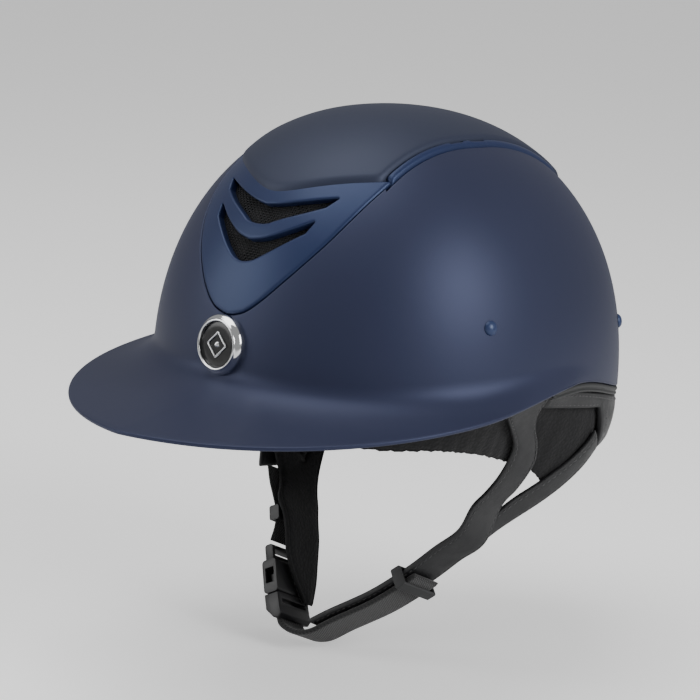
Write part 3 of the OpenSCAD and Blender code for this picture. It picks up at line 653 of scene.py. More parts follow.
# ---- outer shell ----
def stripe_edge(bearings):
    """Elevation of the stripe's outline at each bearing from the front, 0 to 180."""
    lines = [
        FRONT.on_dome(even(through(FRONT_SIDE, 12), 0.5)),
        REAR.on_dome(even(through(REAR_SIDE, 12), 0.5) * [-1, 1])]
    y = np.linspace(STRIPE_FRONT - 4, STRIPE_REAR + 6, 200)
    lines.append(foot(np.stack([rail_x(y) + SEAM + RAIL_W, y], -1)))
    lowest = np.full(len(bearings), 90.0)
    for line in lines:
        v = line - [0, DOME_Y, DOME_Z]
        a = np.degrees(np.arctan2(v[:, 0], -v[:, 1]))
        up = np.degrees(np.arctan2(v[:, 2], np.hypot(v[:, 0], v[:, 1])))
        order = np.argsort(a)
        here = np.interp(bearings, a[order], up[order], left=90, right=90)
        lowest = np.minimum(lowest, here)
    return lowest


def shell_rows():
    """The shell's outer grid: one row per bearing, from the stripe's edge to the rim."""
    bearings = np.arange(720) * 0.5
    top_edge = stripe_edge(wrap(bearings))
    curve, start = flare_curve(bearings, 26)
    slope = np.abs(np.gradient(top_edge, 0.5))
    stretch = np.sqrt(1 + np.minimum(slope, 2.2) ** 2)
    gaps = np.array([0, 0.06, 0.16, 0.32, 0.55, 0.8, 1.1, 1.6, 2.4])
    per_mm = np.degrees(1 / 122.0)
    lines = [at(bearings, top_edge + 0.001, RECESS + 0.8)]
    for gap in gaps:
        up = top_edge - gap * stretch * per_mm
        lines.append(at(bearings, up, float(rounding(gap, 1.1))))
    begin = top_edge - gaps[-1] * stretch * per_mm
    for t in np.linspace(0, 1, 72)[1:]:
        lines.append(at(bearings, mix(begin, start, t)))
    dome_part = np.stack(lines, 1)
    return bearings, np.concatenate([dome_part, curve], 1)


BEARINGS, SKIN_ROWS = shell_rows()
LIP_T = 2.1


def shell_section():
    """Closes the outer grid round the lip and back up the inside."""
    outer = SKIN_ROWS.copy()
    normal = grid_normals(outer, wrap_rows=True)
    away = np.sum(normal[:, -20] * outward(outer[:, -20]), -1).mean()
    normal = normal if away > 0 else -normal
    run = unit(outer[:, -1] - outer[:, -2])
    outer[:, -1] -= run * 0.9
    outer[:, -2] = mix(outer[:, -3], outer[:, -1], 0.5)
    centre = outer[:, -1] - normal[:, -1] * LIP_T / 2
    lip = []
    for a in np.radians(np.linspace(20, 180, 9)):
        lip.append(centre + normal[:, -1] * LIP_T / 2 * math.cos(a) + run * 0.9 * math.sin(a))
    along = np.linalg.norm(np.diff(outer, axis=1), axis=-1)
    left = np.concatenate([np.cumsum(along[:, ::-1], 1)[:, ::-1], np.zeros((len(outer), 1))], 1)
    thick = mix(LIP_T, SHELL_T, ease(0, 14, left))[..., None]
    inner = outer - normal * thick
    inner = inner[:, 12:-1:2][:, ::-1]
    return outer, np.stack(lip, 1), inner


def outer_shell():
    outer, lip, inner = shell_section()
    rows = np.concatenate([outer, lip, inner], 1)
    faces = grid_faces(len(rows), rows.shape[1], wrap_rows=True)
    points = rows.reshape(-1, 3)
    # the recess under the panels, open at the vents
    top_edge = stripe_edge(wrap(BEARINGS))
    steps = np.linspace(0, 1, 40) ** 0.8
    floor = np.stack([at(BEARINGS, mix(top_edge, 89.5, t), RECESS + 0.8) for t in steps], 1)
    floor_faces = np.array(grid_faces(len(floor), floor.shape[1], wrap_rows=True))
    flat_floor = floor.reshape(-1, 3)
    shut = np.zeros(len(flat_floor), bool)
    for plane, vents, front in VENT_PLANES:
        rel = flat_floor - plane.spot
        uv = np.stack([rel @ plane.u, rel @ plane.v], -1)
        ahead = (flat_floor[:, 1] < 0) == front
        for vent in vents:
            loop = vent_outline(vent)
            shut |= ahead & (in_loop(uv, loop) | (edge_distance(uv, [loop]) < 1.2))
    floor_faces = floor_faces[~shut[floor_faces].any(1)] + len(points)
    points = np.concatenate([points, flat_floor])
    faces += floor_faces.tolist()
    return outside(piece("shell_skin", points, faces, NAVY, "helmet", "shell", ["outer_shell"]))


def brim_lining():
    """Felt bonded under the brim and up inside the brow."""
    inner = shell_section()[2]
    pick = np.r_[np.arange(720 - 224, 720), np.arange(0, 225)]
    under = inner[pick, 2:34]
    normal = grid_normals(under)
    side = np.sign(np.sum(normal * unit(np.array([0, 0, -1.0]) - outward(under)), -1).mean())
    puff = 0.7 * (1 - rounding(np.arange(under.shape[1]) * 1.0, 2.0) / 2.0)[None, :, None]
    face = under + normal * side * puff
    rows = np.concatenate([face, (under - normal * side * 0.05)[:, ::-1]], 1)
    faces = grid_faces(len(rows), rows.shape[1], wrap_cols=True)
    return outside(piece("brim_felt_lining", rows, faces, FELT, "helmet", "lining", ["brim_lining"]))


def rear_bead():
    """A rounded rubber ridge over a flat strip, along the rear edge."""
    a = np.linspace(95, 265, 420)
    c = level(a, rim_z(a) - 2.25, 1.4)
    out = outward(c)
    up = np.array([0, 0, 1.0])
    end = np.clip(np.minimum(a - 95, 265 - a) / 1.6, 0, 1)
    size = np.sqrt(np.maximum(1 - (1 - end) ** 2, 0.02))[:, None]
    shape = []
    for t in np.radians(np.arange(-70, 91, 16)):
        shape.append((1.5 * math.cos(t), 0.75 + 1.35 * math.sin(t)))
    shape += [(-1.8, 2.1), (-1.8, -2.4)]
    for t in np.radians(np.arange(-90, 81, 20)):
        shape.append((0.35 + 0.75 * math.cos(t), -1.75 + 0.75 * math.sin(t)))
    rows = np.stack([c + size * (out * x + up * z) for x, z in shape], 1)
    n, m = rows.shape[:2]
    faces = grid_faces(n, m, wrap_cols=True) + [list(range(m)), list(range((n - 1) * m, n * m))]
    bead = piece("rear_rubber_bead", rows, faces, RUBBER, "helmet", "edge_rubber", ["rear_edge_bead"])
    return outside(bead)


# ---- panels ----
def vent_panel(name, plane, side, chevron, vents, node):
    outline = round_corners(grown(panel_outline(side, chevron), -SEAM), 0.9, 0.55)
    holes = [vent_outline(v) for v in vents]
    points, faces = plate(outline, holes, plane.on_dome, -0.05, 2.4, MESH_DEPTH, 1.1)
    return outside(piece(name, points, faces, SATIN, "helmet", "panel", [node], sharp=40))


def crown_panel():
    def edge(plane, chevron, sign):
        u = np.linspace(-60, 60, 241)
        p = plane.on_dome(np.stack([u, chevron_v(u, (chevron[0] + SEAM, chevron[1]))], -1), -1.8)[:, :2]
        p = p[np.argsort(p[:, 0])]
        return p[np.abs(p[:, 0]) < CROWN_HALF - REAR_NARROW * max(0, sign) - 0.2]

    front = edge(FRONT, FRONT_CHEVRON, -1)
    rear = edge(REAR, REAR_CHEVRON, 1)
    y = np.linspace(front[-1, 1] + 0.6, rear[-1, 1] - 0.6, 220)
    right = np.stack([rail_x(y) - SEAM, y], -1)
    left = (right * [-1, 1])[::-1]
    outline = round_corners(np.concatenate([front, right, rear[::-1], left]), 3.2, 0.7)
    points, faces = plate(outline, [], foot, -1.8, 3.6, 3.6, 2.0, 2.2)
    return outside(piece("crown_cover", points, faces, CROWN, "helmet", "crown", ["crown_panel"], sharp=50))


SLOTS = [[-20, -10], [-5, 6]]


def rail(side):
    """The rib beside the crown panel, notched by two air slots."""
    y = np.linspace(STRIPE_FRONT + 0.5, STRIPE_REAR, 300)
    notch = np.zeros(len(y))
    for a, b in SLOTS:
        notch = np.maximum(notch, ease(a - 0.6, a + 0.4, y) * (1 - ease(b - 0.4, b + 0.6, y)))
    end = np.clip(np.minimum(y - y[0], y[-1] - y) / 3.0, 0, 1)
    rise = np.sqrt(np.maximum(1 - (1 - end) ** 2, 0.01))
    inner = rail_x(y) + 1.1 * notch
    outer = rail_x(y) + RAIL_W
    lines = []
    for t in np.linspace(0, 1, 13):
        e = min(t, 1 - t) * RAIL_W
        lift = 0.85 - float(rounding(e, 1.2)) + 0.25 * math.sin(math.pi * t)
        lines.append((mix(inner, outer, t), -lift * rise))
    lines = [(inner, 2.5 + 0 * y)] + lines + [(outer, 2.5 + 0 * y)]
    rows = np.stack([foot(np.stack([side * x, y], -1), d) for x, d in lines], 1)
    n, m = rows.shape[:2]
    faces = grid_faces(n, m) + [list(range(m)), list(range((n - 1) * m, n * m))]
    name = "left" if side > 0 else "right"
    return outside(piece(name + "_crown_rail", rows, faces, SATIN, "helmet", "panel", [name + "_rail"]))


def tube_run(path, radius, sides, normal_hint):
    """Points and faces of one round wire along a path."""
    run = unit(np.gradient(path, axis=0))
    x = unit(np.cross(run, normal_hint))
    y = np.cross(run, x)
    a = np.arange(sides) * 2 * math.pi / sides
    turn = np.cos(a)[None, :, None] * x[:, None] + np.sin(a)[None, :, None] * y[:, None]
    ring = path[:, None] + radius * turn
    faces = grid_faces(len(path), sides, wrap_cols=True)
    n = len(path) * sides
    return ring.reshape(-1, 3), faces + [list(range(sides)), list(range(n - sides, n))]


def gather(parts):
    """One list of points and faces from many."""
    points, faces, start = [], [], 0
    for p, f in parts:
        points.append(p)
        faces += [[k + start for k in face] for face in f]
        start += len(p)
    return np.concatenate(points), faces


def vent_mesh(name, plane, vent, node, pitch=1.25):
    """Woven wires, over and under, clipped to the vent."""
    loop = grown(vent_outline(vent), 0.9)
    low, high = loop.min(0), loop.max(0)
    parts = []
    for axis in (0, 1):
        other = 1 - axis
        for n, fixed in enumerate(np.arange(low[axis] + 0.3, high[axis], pitch)):
            along = np.arange(low[other], high[other], pitch / 3)
            uv = np.empty((len(along), 2))
            uv[:, axis] = fixed
            uv[:, other] = along
            within = in_loop(uv, loop)
            cuts = np.flatnonzero(np.diff(within.astype(int)))
            for part in np.split(np.arange(len(along)), cuts + 1):
                if len(part) < 4 or not within[part[0]]:
                    continue
                phase = (along[part] - low[other]) / pitch + (n + axis) % 2
                wave = 0.22 * np.sin(math.pi * phase)
                path = plane.on_dome(uv[part], MESH_DEPTH + 0.3 + wave)
                parts.append(tube_run(path, 0.26, 5, plane.w))
    points, faces = gather(parts)
    return piece(name, points, faces, WIRE, "helmet", "mesh", [node])


# ---- linings ----
def impact_liner():
    """The foam liner, cut through by its air ways."""
    a = np.arange(180) * 2.0
    z = np.maximum(rim_z(a), 1) + 3
    top = up_at(a, z)
    outer = [at(a, mix(90, top, t), FOAM_OUT) for t in np.linspace(0.03, 1, 20)]
    inner = [at(a, mix(90, top, t), FOAM_IN) for t in np.linspace(1, 0.03, 46)]
    sag = np.array([0, 0, 1.6])
    base = []
    for t in (0.04, 0.12, 0.3, 0.5, 0.7, 0.88, 0.96):
        base.append(mix(outer[-1], inner[0], t) - sag * math.sin(math.pi * t))
    rows = np.stack(outer + base + inner, 1)
    n, m = rows.shape[:2]
    faces = grid_faces(n, m, wrap_rows=True) + [[i * m for i in range(n)], [i * m + m - 1 for i in range(n)]]
    liner = outside(piece("foam_liner", rows, faces, FOAM, "helmet", "foam", ["impact_liner"], sharp=60))
    cutters = []
    for plane, spots in ((FRONT, [(-16, 20), (0, 15), (16, 20), (0, -4)]), (REAR, [(-12, 7), (12, 7)])):
        for u, v in spots:
            cutters.append((plane.spot + u * plane.u + v * plane.v - 8 * plane.w, plane.w, 5, 70))
    for x, y in AIR_HOLES:
        cutters.append((np.array([x, y, 120.0]), np.array([0, 0, 1.0]), 7, 70))
    work = bmesh.new()
    for spot, axis, radius, height in cutters:
        turn = Vector(axis).to_track_quat("Z", "Y").to_matrix().to_4x4()
        place = Matrix.Translation(Vector(spot) * MM) @ turn
        bmesh.ops.create_cone(work, cap_ends=True, segments=40, radius1=radius * MM, radius2=radius * MM,
                              depth=height * MM, matrix=place)
    mesh = bpy.data.meshes.new("air_ways")
    work.to_mesh(mesh)
    work.free()
    tool = bpy.data.objects.new("air_ways", mesh)
    bpy.context.scene.collection.objects.link(tool)
    cut = liner.modifiers.new("cut", "BOOLEAN")
    cut.operation = "DIFFERENCE"
    cut.solver = "EXACT"
    cut.object = tool
    apply_modifiers(liner)
    bpy.data.objects.remove(tool)
    liner.data.set_sharp_from_angle(angle=math.radians(50))
    return liner


def apply_modifiers(obj):
    shown = obj.evaluated_get(bpy.context.evaluated_depsgraph_get())
    mesh = bpy.data.meshes.new_from_object(shown)
    obj.modifiers.clear()
    obj.data = mesh
    mesh.polygons.foreach_set("use_smooth", [True] * len(mesh.polygons))


def inflate(obj, held, pressure, frames):
    """Puffs a padded piece up by cloth simulation, with its back and seams held."""
    group = obj.vertex_groups.new(name="held")
    group.add([int(i) for i in np.flatnonzero(held)], 1.0, "REPLACE")
    cloth = obj.modifiers.new("cloth", "CLOTH")
    s = cloth.settings
    s.use_pressure = True
    s.uniform_pressure_force = pressure
    s.quality = 6
    s.mass = 0.15
    s.tension_stiffness = 12
    s.compression_stiffness = 12
    s.shear_stiffness = 5
    s.bending_stiffness = 0.4
    s.shrink_min = -0.06
    s.vertex_group_mass = "held"
    s.effector_weights.gravity = 0
    cloth.collision_settings.use_collision = False
    cloth.point_cache.frame_start = 1
    cloth.point_cache.frame_end = frames
    for f in range(1, frames + 1):
        bpy.context.scene.frame_set(f)
    apply_modifiers(obj)
    bpy.context.scene.frame_set(1)


def soften(obj, levels=1):
    sub = obj.modifiers.new("smooth", "SUBSURF")
    sub.levels = levels
    sub.render_levels = levels
    apply_modifiers(obj)


def headband():
    """A ring of padded sections with stitched seams between them."""
    n, m = 192, 11
    a = np.arange(n) * 360 / n
    low = np.maximum(rim_z(a), 1) + 1.0
    seam_gap = np.abs((a + 22.5) % 45 - 22.5) * 1.6
    t = np.linspace(0, 1, m)
    depth_inner, depth_outer = [], []
    for k in t:
        e = np.minimum(min(k, 1 - k) * 36, seam_gap)
        puff = np.sqrt(np.clip(e / 9, 0, 1) * (2 - np.clip(e / 9, 0, 1)))
        z = mix(low, 38, k)
        depth_inner.append(level(a, z, PAD_OUT + 0.8) - outward(level(a, 20, 0)) * (puff * 3.6)[:, None])
        depth_outer.append(level(a, z, PAD_OUT))
    rows = np.stack(depth_inner + depth_outer[::-1], 1)
    band = piece("headband_padding", rows, grid_faces(n, 2 * m, True, True), KNIT, "helmet", "pad_fabric",
                 ["headband_pad"])
    outside(band)
    held = np.zeros((n, 2 * m), bool)
    held[:, m:] = True
    held[:, [0, m - 1]] = True
    held[seam_gap < 0.5] = True
    inflate(band, held.ravel(), 4.0, 16)
    soften(band)
    parts = []
    for centre in np.arange(0, 360, 45):
        z = np.linspace(float(np.maximum(rim_z(centre), 1)) + 4, 35, 60)
        path = level(np.full(60, centre), z, PAD_OUT + 0.9)
        parts.append(stitch_line(path, -outward(path)))
    sew("headband_seams", parts, "helmet", "pad_fabric")


def crown_pad():
    """The quilted pad under the crown, with four air holes."""
    a = np.arange(160) * 2.25
    outline = at(a, 46, PAD_OUT)[:, :2]
    t = np.radians(np.arange(0, 360, 15))
    holes = [np.stack([x + 9 * np.cos(t), y + 9 * np.sin(t)], -1) for x, y in AIR_HOLES]
    outline = even(np.concatenate([outline, outline[:1]]), 3.5)[:-1]
    loops = [outline, *holes]
    grid = plan_grid(outline, 3.6)
    grid = grid[in_loop(grid, outline) & (edge_distance(grid, loops) > 2.2)]
    for hole in holes:
        grid = grid[~in_loop(grid, hole)]
    verts, faces, _ = triangulate(outline, holes, grid)
    e = edge_distance(verts, loops)
    quilt = np.minimum(e, np.abs(verts[:, 0]) + 0.6)
    k = np.clip(quilt / 9, 0, 1)
    depth = PAD_OUT + 0.5 + 4.6 * np.sqrt(k * (2 - k))
    face = np.array([foot(v, d) for v, d in zip(verts, depth)])
    back = foot(verts, PAD_OUT)
    n = len(verts)
    faces = faces.tolist()
    all_faces = faces + [[i + n for i in f[::-1]] for f in faces]
    count = {}
    for f in faces:
        for pair in zip(f, f[1:] + f[:1]):
            key = tuple(sorted(pair))
            count[key] = count.get(key, 0) + 1
    all_faces += [[i, j, j + n, i + n] for (i, j), c in count.items() if c == 1]
    points = np.concatenate([face, back])
    pad = outside(piece("crown_padding", points, all_faces, KNIT, "helmet", "pad_fabric", ["crown_pad"]))
    held = np.concatenate([(e < 1e-3) | (np.abs(verts[:, 0]) < 1.9), np.ones(n, bool)])
    inflate(pad, held, 3.0, 14)
    soften(pad)


# ---- stitches ----
def stitch_line(path, normals, pitch=3.3, length=2.3, radius=0.32):
    """Small thread stitches along a path, half sunk in the surface."""
    s = np.concatenate([[0], np.cumsum(np.linalg.norm(np.diff(path, axis=0), axis=1))])
    count = int(s[-1] / pitch)
    parts = []
    for k in range(count):
        middle = (k + 0.5) * s[-1] / count
        t = np.linspace(-1, 1, 5)
        p = np.stack([np.interp(middle + t * length / 2, s, path[:, c]) for c in range(3)], -1)
        normal = unit(np.array([np.interp(middle, s, normals[:, c]) for c in range(3)]))
        p = p + normal * ((0.12 - 0.35 * t ** 4)[:, None])
        ring, faces = tube_run(p, radius, 6, normal)
        ring = ring.reshape(5, 6, 3)
        small = np.array([0.35, 0.85, 1, 0.85, 0.35])[:, None, None]
        ring = p[:, None] + (ring - p[:, None]) * small
        parts.append((ring.reshape(-1, 3), faces))
    return gather(parts) if parts else (np.zeros((0, 3)), [])


def sew(name, runs, body, slot, blended=None):
    """Lines of stitches as one piece of thread."""
    points, faces = gather(runs)
    threads = piece(name, points, faces, THREAD, None if blended else body, slot)
    if blended:
        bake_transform(threads)
    return threads


# ---- straps ----
class Ribbon:
    """A flat strap on a surface. base(t) gives its middle surface, one row per step, at t across it."""

    def __init__(self, base, thick, face_out, puff=0.25, groove=2.3, round_r=None):
        self.base = base
        self.thick = thick
        self.puff = puff
        self.groove = groove
        probe = base(np.array([0, 0.5, 1.0]))
        self.width = np.linalg.norm(probe[:, 2] - probe[:, 0], axis=-1)
        self.along = np.concatenate([[0], np.cumsum(np.linalg.norm(np.diff(probe[:, 1], axis=0), axis=1))])
        self.round_r = round_r or thick / 2
        normal = grid_normals(probe)
        self.sign = np.sign(np.sum(normal[:, 1] * face_out(probe[:, 1]), -1).mean())

    def layer(self, t, side):
        g = self.base(t)
        normal = grid_normals(g) * self.sign
        e = np.minimum(t, 1 - t)[None, :] * self.width[:, None]
        half = self.thick / 2 - rounding(e, self.round_r) * (self.thick / 2 / self.round_r)
        if self.groove:
            half = half - 0.28 * np.exp(-((e - self.groove) / 0.45) ** 2)
        half = half + self.puff * ease(1.0, 5.0, e)
        left = self.along - self.along[0]
        for s in (left, left[-1] - left):
            near_end = 1 - np.clip(s / (self.thick * 0.7), 0, 1)
            half = half * np.sqrt(np.clip(1 - near_end ** 2, 0.02, 1))[:, None]
        return g + normal * half[..., None] * side, normal

    def solid(self, name, look, body, slot, nodes, uv=False):
        w = float(self.width.mean())
        near = np.array([0, 0.15, 0.4, 0.8, 1.3, 1.8, 2.1, 2.3, 2.5, 2.9, 3.6]) / w
        near = near[near < 0.4]
        inner = max(9, int(w / 2.5))
        t = np.concatenate([near, np.linspace(near[-1], 1 - near[-1], inner)[1:-1], 1 - near[::-1]])
        top, _ = self.layer(t, 1)
        under, _ = self.layer(t, -1)
        rows = np.concatenate([top, under[:, ::-1][:, 1:-1]], 1)
        n, m = rows.shape[:2]
        faces = grid_faces(n, m, wrap_cols=True) + [list(range(m)), list(range((n - 1) * m, n * m))]
        spots = None
        if uv:
            across = np.concatenate([t, t[::-1][1:-1]]) * w
            spots = np.stack(np.broadcast_arrays(across[None, :], self.along[:, None]), -1)
        return outside(piece(name, rows, faces, look, body, slot, nodes, uv=spots))

    def seam(self, e, far=False, side=1, first=0.0):
        """A line of stitches at distance e from one edge."""
        t = e / float(self.width.mean())
        g, normal = self.layer(np.array([0, 1 - t if far else t, 1.0]), side)
        n = len(g)
        cut = slice(int(first * n), n)
        return stitch_line(g[cut, 1], normal[cut, 1] * side)


def between(edge_a, edge_b, bow=0.0):
    """A ribbon's base between two edges. bow lifts its middle away from the head."""
    def base(t):
        g = edge_a[:, None] * (1 - t)[None, :, None] + edge_b[:, None] * t[None, :, None]
        if bow:
            g = g + outward(g) * (4 * bow * t * (1 - t))[None, :, None]
        return g
    return base


def skin(bearing, z, d=0.0):
    """The harness's surface, below the shell."""
    a = wrap(bearing)
    z = np.asarray(z, float)
    side = 14.5 - np.where(z > 0, 0.7, 0.41) * z
    nape = 0.8 + 0.012 * np.maximum(0, -z - 6) ** 2
    depth = mix(side, nape, ease(98, 128, a)) + d
    p = level(bearing, np.maximum(z, 0), depth)
    return np.stack([p[..., 0], p[..., 1], z + 0 * p[..., 0]], -1)


CHIN_LEAN = math.radians(65.7)
CHIN_U = np.array([1.0, 0, 0])
CHIN_V = np.array([0, math.cos(CHIN_LEAN), math.sin(CHIN_LEAN)])
CHIN_N = np.array([0, -math.sin(CHIN_LEAN), math.cos(CHIN_LEAN)])
CHIN_AT = np.array([0, -11.0, -60.0])


def chin(u, v, n):
    u, v, n = np.broadcast_arrays(np.asarray(u, float), v, n)
    return CHIN_AT + u[..., None] * CHIN_U + v[..., None] * CHIN_V + n[..., None] * CHIN_N


STRAP_T, WEB_W, WEB_T, CHIN_W = 2.8, 20, 1.4, 23
# Strap edges, each a list of [bearing, height, depth on the harness's surface]
FORE = [[80.5, 12, 0], [83, 5, 0], [88.5, -4, 0], [93.5, -13, 0], [95, -21, 0], [93.5, -31, 0],
        [89.5, -39, 0], [84.5, -46, 0]]
AFT = [[98.3, 12, 0], [99, 2, 0], [101.8, -7, 0], [105, -15, 0], [107, -24, 0], [107, -31, 0],
       [105.8, -40, 0], [103, -49, 0], [101.3, -57, 0]]
REAR_TOP = [[98, -60, 0.8], [101.8, -55.5, 0.4], [105, -50, 0], [108.4, -45, 0], [111.6, -40.5, 0],
            [114.4, -35.5, 0], [117.4, -29.5, 0], [120, -23.5, 0], [122.2, -18, 0], [123.4, -13, 0]]
REAR_LOW = [[96, -73, 0.8], [100, -70.5, 0], [106, -65.5, -1.5], [112, -59.5, -2.5], [117, -53, -2.5],
            [120.5, -46, -2], [123.4, -38.5, -1.2], [125.6, -32, -0.6], [127.2, -27.5, 0], [128.6, -24, 0]]
# Middle lines of the lower straps, each a list of [u, v] on the chin plane
COVER = [[68.5, -3], [57.6, -14.5], [44.9, -28.4], [27.3, -44.6], [5.2, -60.2], [-5, -68]]
WEB = [[50.1, -29.6], [30.1, -48], [7.8, -63.8], [-2.3, -71.5], [-8.5, -74.3], [-15, -75.3], [-20.5, -74.6],
       [-24.8, -72.9], [-28, -68.5]]
RIGHT_WEB = [[-67, 3], [-62, -5], [-55.5, -13], [-50.4, -20], [-48.4, -27], [-48.2, -34.5]]
SKIRT_GAP = 1.4
SKIRT_LOW = [[32, -9], [46, -11], [60, -11.5], [70, -13.5], [81, -17], [90, -21], [99, -25], [108, -29.5],
             [113, -35], [116.5, -39], [120, -36.5], [124, -29], [130, -25.5], [150, -26], [180, -28]]
# The right lining: its upper edge and middle on the harness's surface, then its path on the chin plane
# with the distances of its front and rear edges from that path
FLAP_TOP = [[88, -22], [94, -25.5], [98.5, -38], [102, -50], [108, -56.5], [112, -50], [115.5, -42],
            [122, -34], [128, -27]]
FLAP_MIDDLE = [[86.5, -56], [112, -61]]
FLAP = [[-50, -11.5], [-44.4, -19], [-40, -27], [-35.6, -38], [-31, -49], [-26.6, -60]]
FLAP_FRONT = [13, 11.5, 10.5, 9, 3, -6]
FLAP_REAR = [-20, -17.5, -17, -16.5, -15.5, -13]


def skin_edge(spots, side, steps=14):
    p = through(spots, steps)
    return skin(side * p[:, 0], p[:, 1], STRAP_T / 2 + p[:, 2])


def chin_edge(path, n, steps=14):
    p = through(path, steps)
    return chin(p[:, 0], p[:, 1], n)


def resampled(edge_a, edge_b, step=1.6):
    """Two edges with matching rows, evenly spaced along their middle."""
    middle = (edge_a + edge_b) / 2
    s = np.concatenate([[0], np.cumsum(np.linalg.norm(np.diff(middle, axis=0), axis=1))])
    n = int(s[-1] / step)
    spots = np.linspace(0, s[-1], n + 1)
    spots = np.unique(np.concatenate([[0, 0.2, 0.5, 1.0], spots, s[-1] - np.array([0, 0.2, 0.5, 1.0])]))
    return [np.stack([np.interp(spots, s, e[:, k]) for k in range(3)], -1) for e in (edge_a, edge_b)]


# The chin strap's fold lies between these two points
BEND_FROM = chin(71, 4.5, 0) * MM
BEND_TO = chin(61.5, -9.5, 0) * MM
BEND = ("helmet", "chin_strap", tuple(BEND_FROM), tuple(BEND_TO))


def left_strap():
    """Front harness strap and chin strap cover, as one stitched leather strap."""
    fore = [skin(a, z, STRAP_T / 2) for a, z, _ in FORE] + [chin(u, v, CHIN_W / 2) for u, v in COVER]
    aft = [skin(a, z, STRAP_T / 2) for a, z, _ in AFT[:-1]] + [chin(u, v, -CHIN_W / 2) for u, v in COVER]
    edge_a, edge_b = resampled(through(fore, 14), through(aft, 14))
    strap = Ribbon(between(edge_a, edge_b, 0.5), STRAP_T, outward)
    nodes = ["left_front_strap", "chin_strap_cover"]
    obj = strap.solid("left_leather_strap", LEATHER, None, "strap_leather", nodes)
    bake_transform(obj)
    sew("left_strap_stitches", [strap.seam(2.3), strap.seam(2.3, far=True), strap.seam(2.3, side=-1),
                                strap.seam(2.3, far=True, side=-1)], None, "strap_leather", BEND)


def harness_strap(name, spots_a, spots_b, side, node):
    """A stitched leather strap between two edges on the harness's surface."""
    edge_a, edge_b = resampled(skin_edge(spots_a, side), skin_edge(spots_b, side))
    strap = Ribbon(between(edge_a, edge_b, 0.4), STRAP_T, outward, groove=2.1)
    strap.solid(name, LEATHER, "helmet", "strap_leather", [node])
    sew(name + "_stitches", [strap.seam(2.1), strap.seam(2.1, far=True)], "helmet", "strap_leather")


def nape_top(a):
    return rim_z(a) - 4.6


def nape_low(a):
    w = wrap(a)
    return mix(5.2 - 0.28 * (w - 100), mix(-24.0, -30.0, ease(140, 180, w)), ease(123, 127.5, w))


def nape_band():
    """The band behind the ears and round the nape, with a stitched edge."""
    corners = [np.arange(120, 131, 0.2), np.arange(229, 240, 0.2)]
    a = np.unique(np.concatenate([np.arange(98.5, 261.6, 0.8), *corners]))

    def base(t):
        z = mix(nape_top(a)[:, None], nape_low(a)[:, None], t[None, :])
        return skin(np.broadcast_to(a[:, None], z.shape), z, STRAP_T / 2)

    band = Ribbon(base, STRAP_T, outward, puff=0.3, groove=0)
    band.width = np.abs(nape_top(a) - nape_low(a))
    band.solid("nape_leather_band", LEATHER, "helmet", "strap_leather", ["nape_band"])
    runs = []
    inset = 2.4
    rear = (wrap(a) > 128.5)
    for pick, height in ((slice(None), nape_top(a) - inset - 0.3), (rear, nape_low(a) + inset)):
        b, z = a[pick], height[pick] if not isinstance(pick, slice) else height
        p = skin(b, z, -0.15)
        runs.append(stitch_line(p, outward(p)))
    for low, high in ((100, 122), (238, 260)):
        b = np.linspace(low, high, 60)
        p = skin(b, nape_low(b) + 1.6, 0.0)
        runs.append(stitch_line(p, outward(p)))
    for s in (-1, 1):
        z = np.linspace(-3, -21, 40)
        b = np.interp(z, [-21, -3], [129.2, 126.0])
        p = skin(s * b, z, -0.15)
        runs.append(stitch_line(p, outward(p)))
    sew("nape_stitches", runs, "helmet", "strap_leather")


def webbing_strap(name, path, thick, body, node):
    """A length of woven webbing along a path on the chin plane."""
    edge_a, edge_b = resampled(chin_edge(path, WEB_W / 2), chin_edge(path, -WEB_W / 2))
    strap = Ribbon(between(edge_a, edge_b), thick, outward, puff=0.0, groove=0)
    strap.solid(name, WEBBING, body, "webbing", [node], uv=True)


def comfort_skirt():
    """The soft cloth between the head and the straps, hanging from the rim, with a slightly wavy hem."""
    low = through(SKIRT_LOW, 12)
    low = np.concatenate([low, (low[:-1] * [-1, 1] + [360, 0])[::-1]])
    low = even(low, 1.2)
    bearing = low[:, 0]
    hem = low[:, 1] + 0.5 * np.sin(bearing * 1.9) * np.sin(bearing * 0.7)

    def base(t):
        z = mix((rim_z(bearing) - 1)[:, None], hem[:, None], t[None, :])
        wave = 0.35 * np.sin(bearing * 1.1)[:, None] * t[None, :]
        return skin(np.broadcast_to(bearing[:, None], z.shape), z, STRAP_T + SKIRT_GAP + 1.2 + wave)

    skirt = Ribbon(base, 2.2, outward, puff=0.15, groove=1.6, round_r=1.1)
    skirt.width = np.abs(rim_z(bearing) - 1 - hem)
    obj = skirt.solid("comfort_skirt_cloth", KNIT, "helmet", "pad_fabric", ["comfort_skirt"])


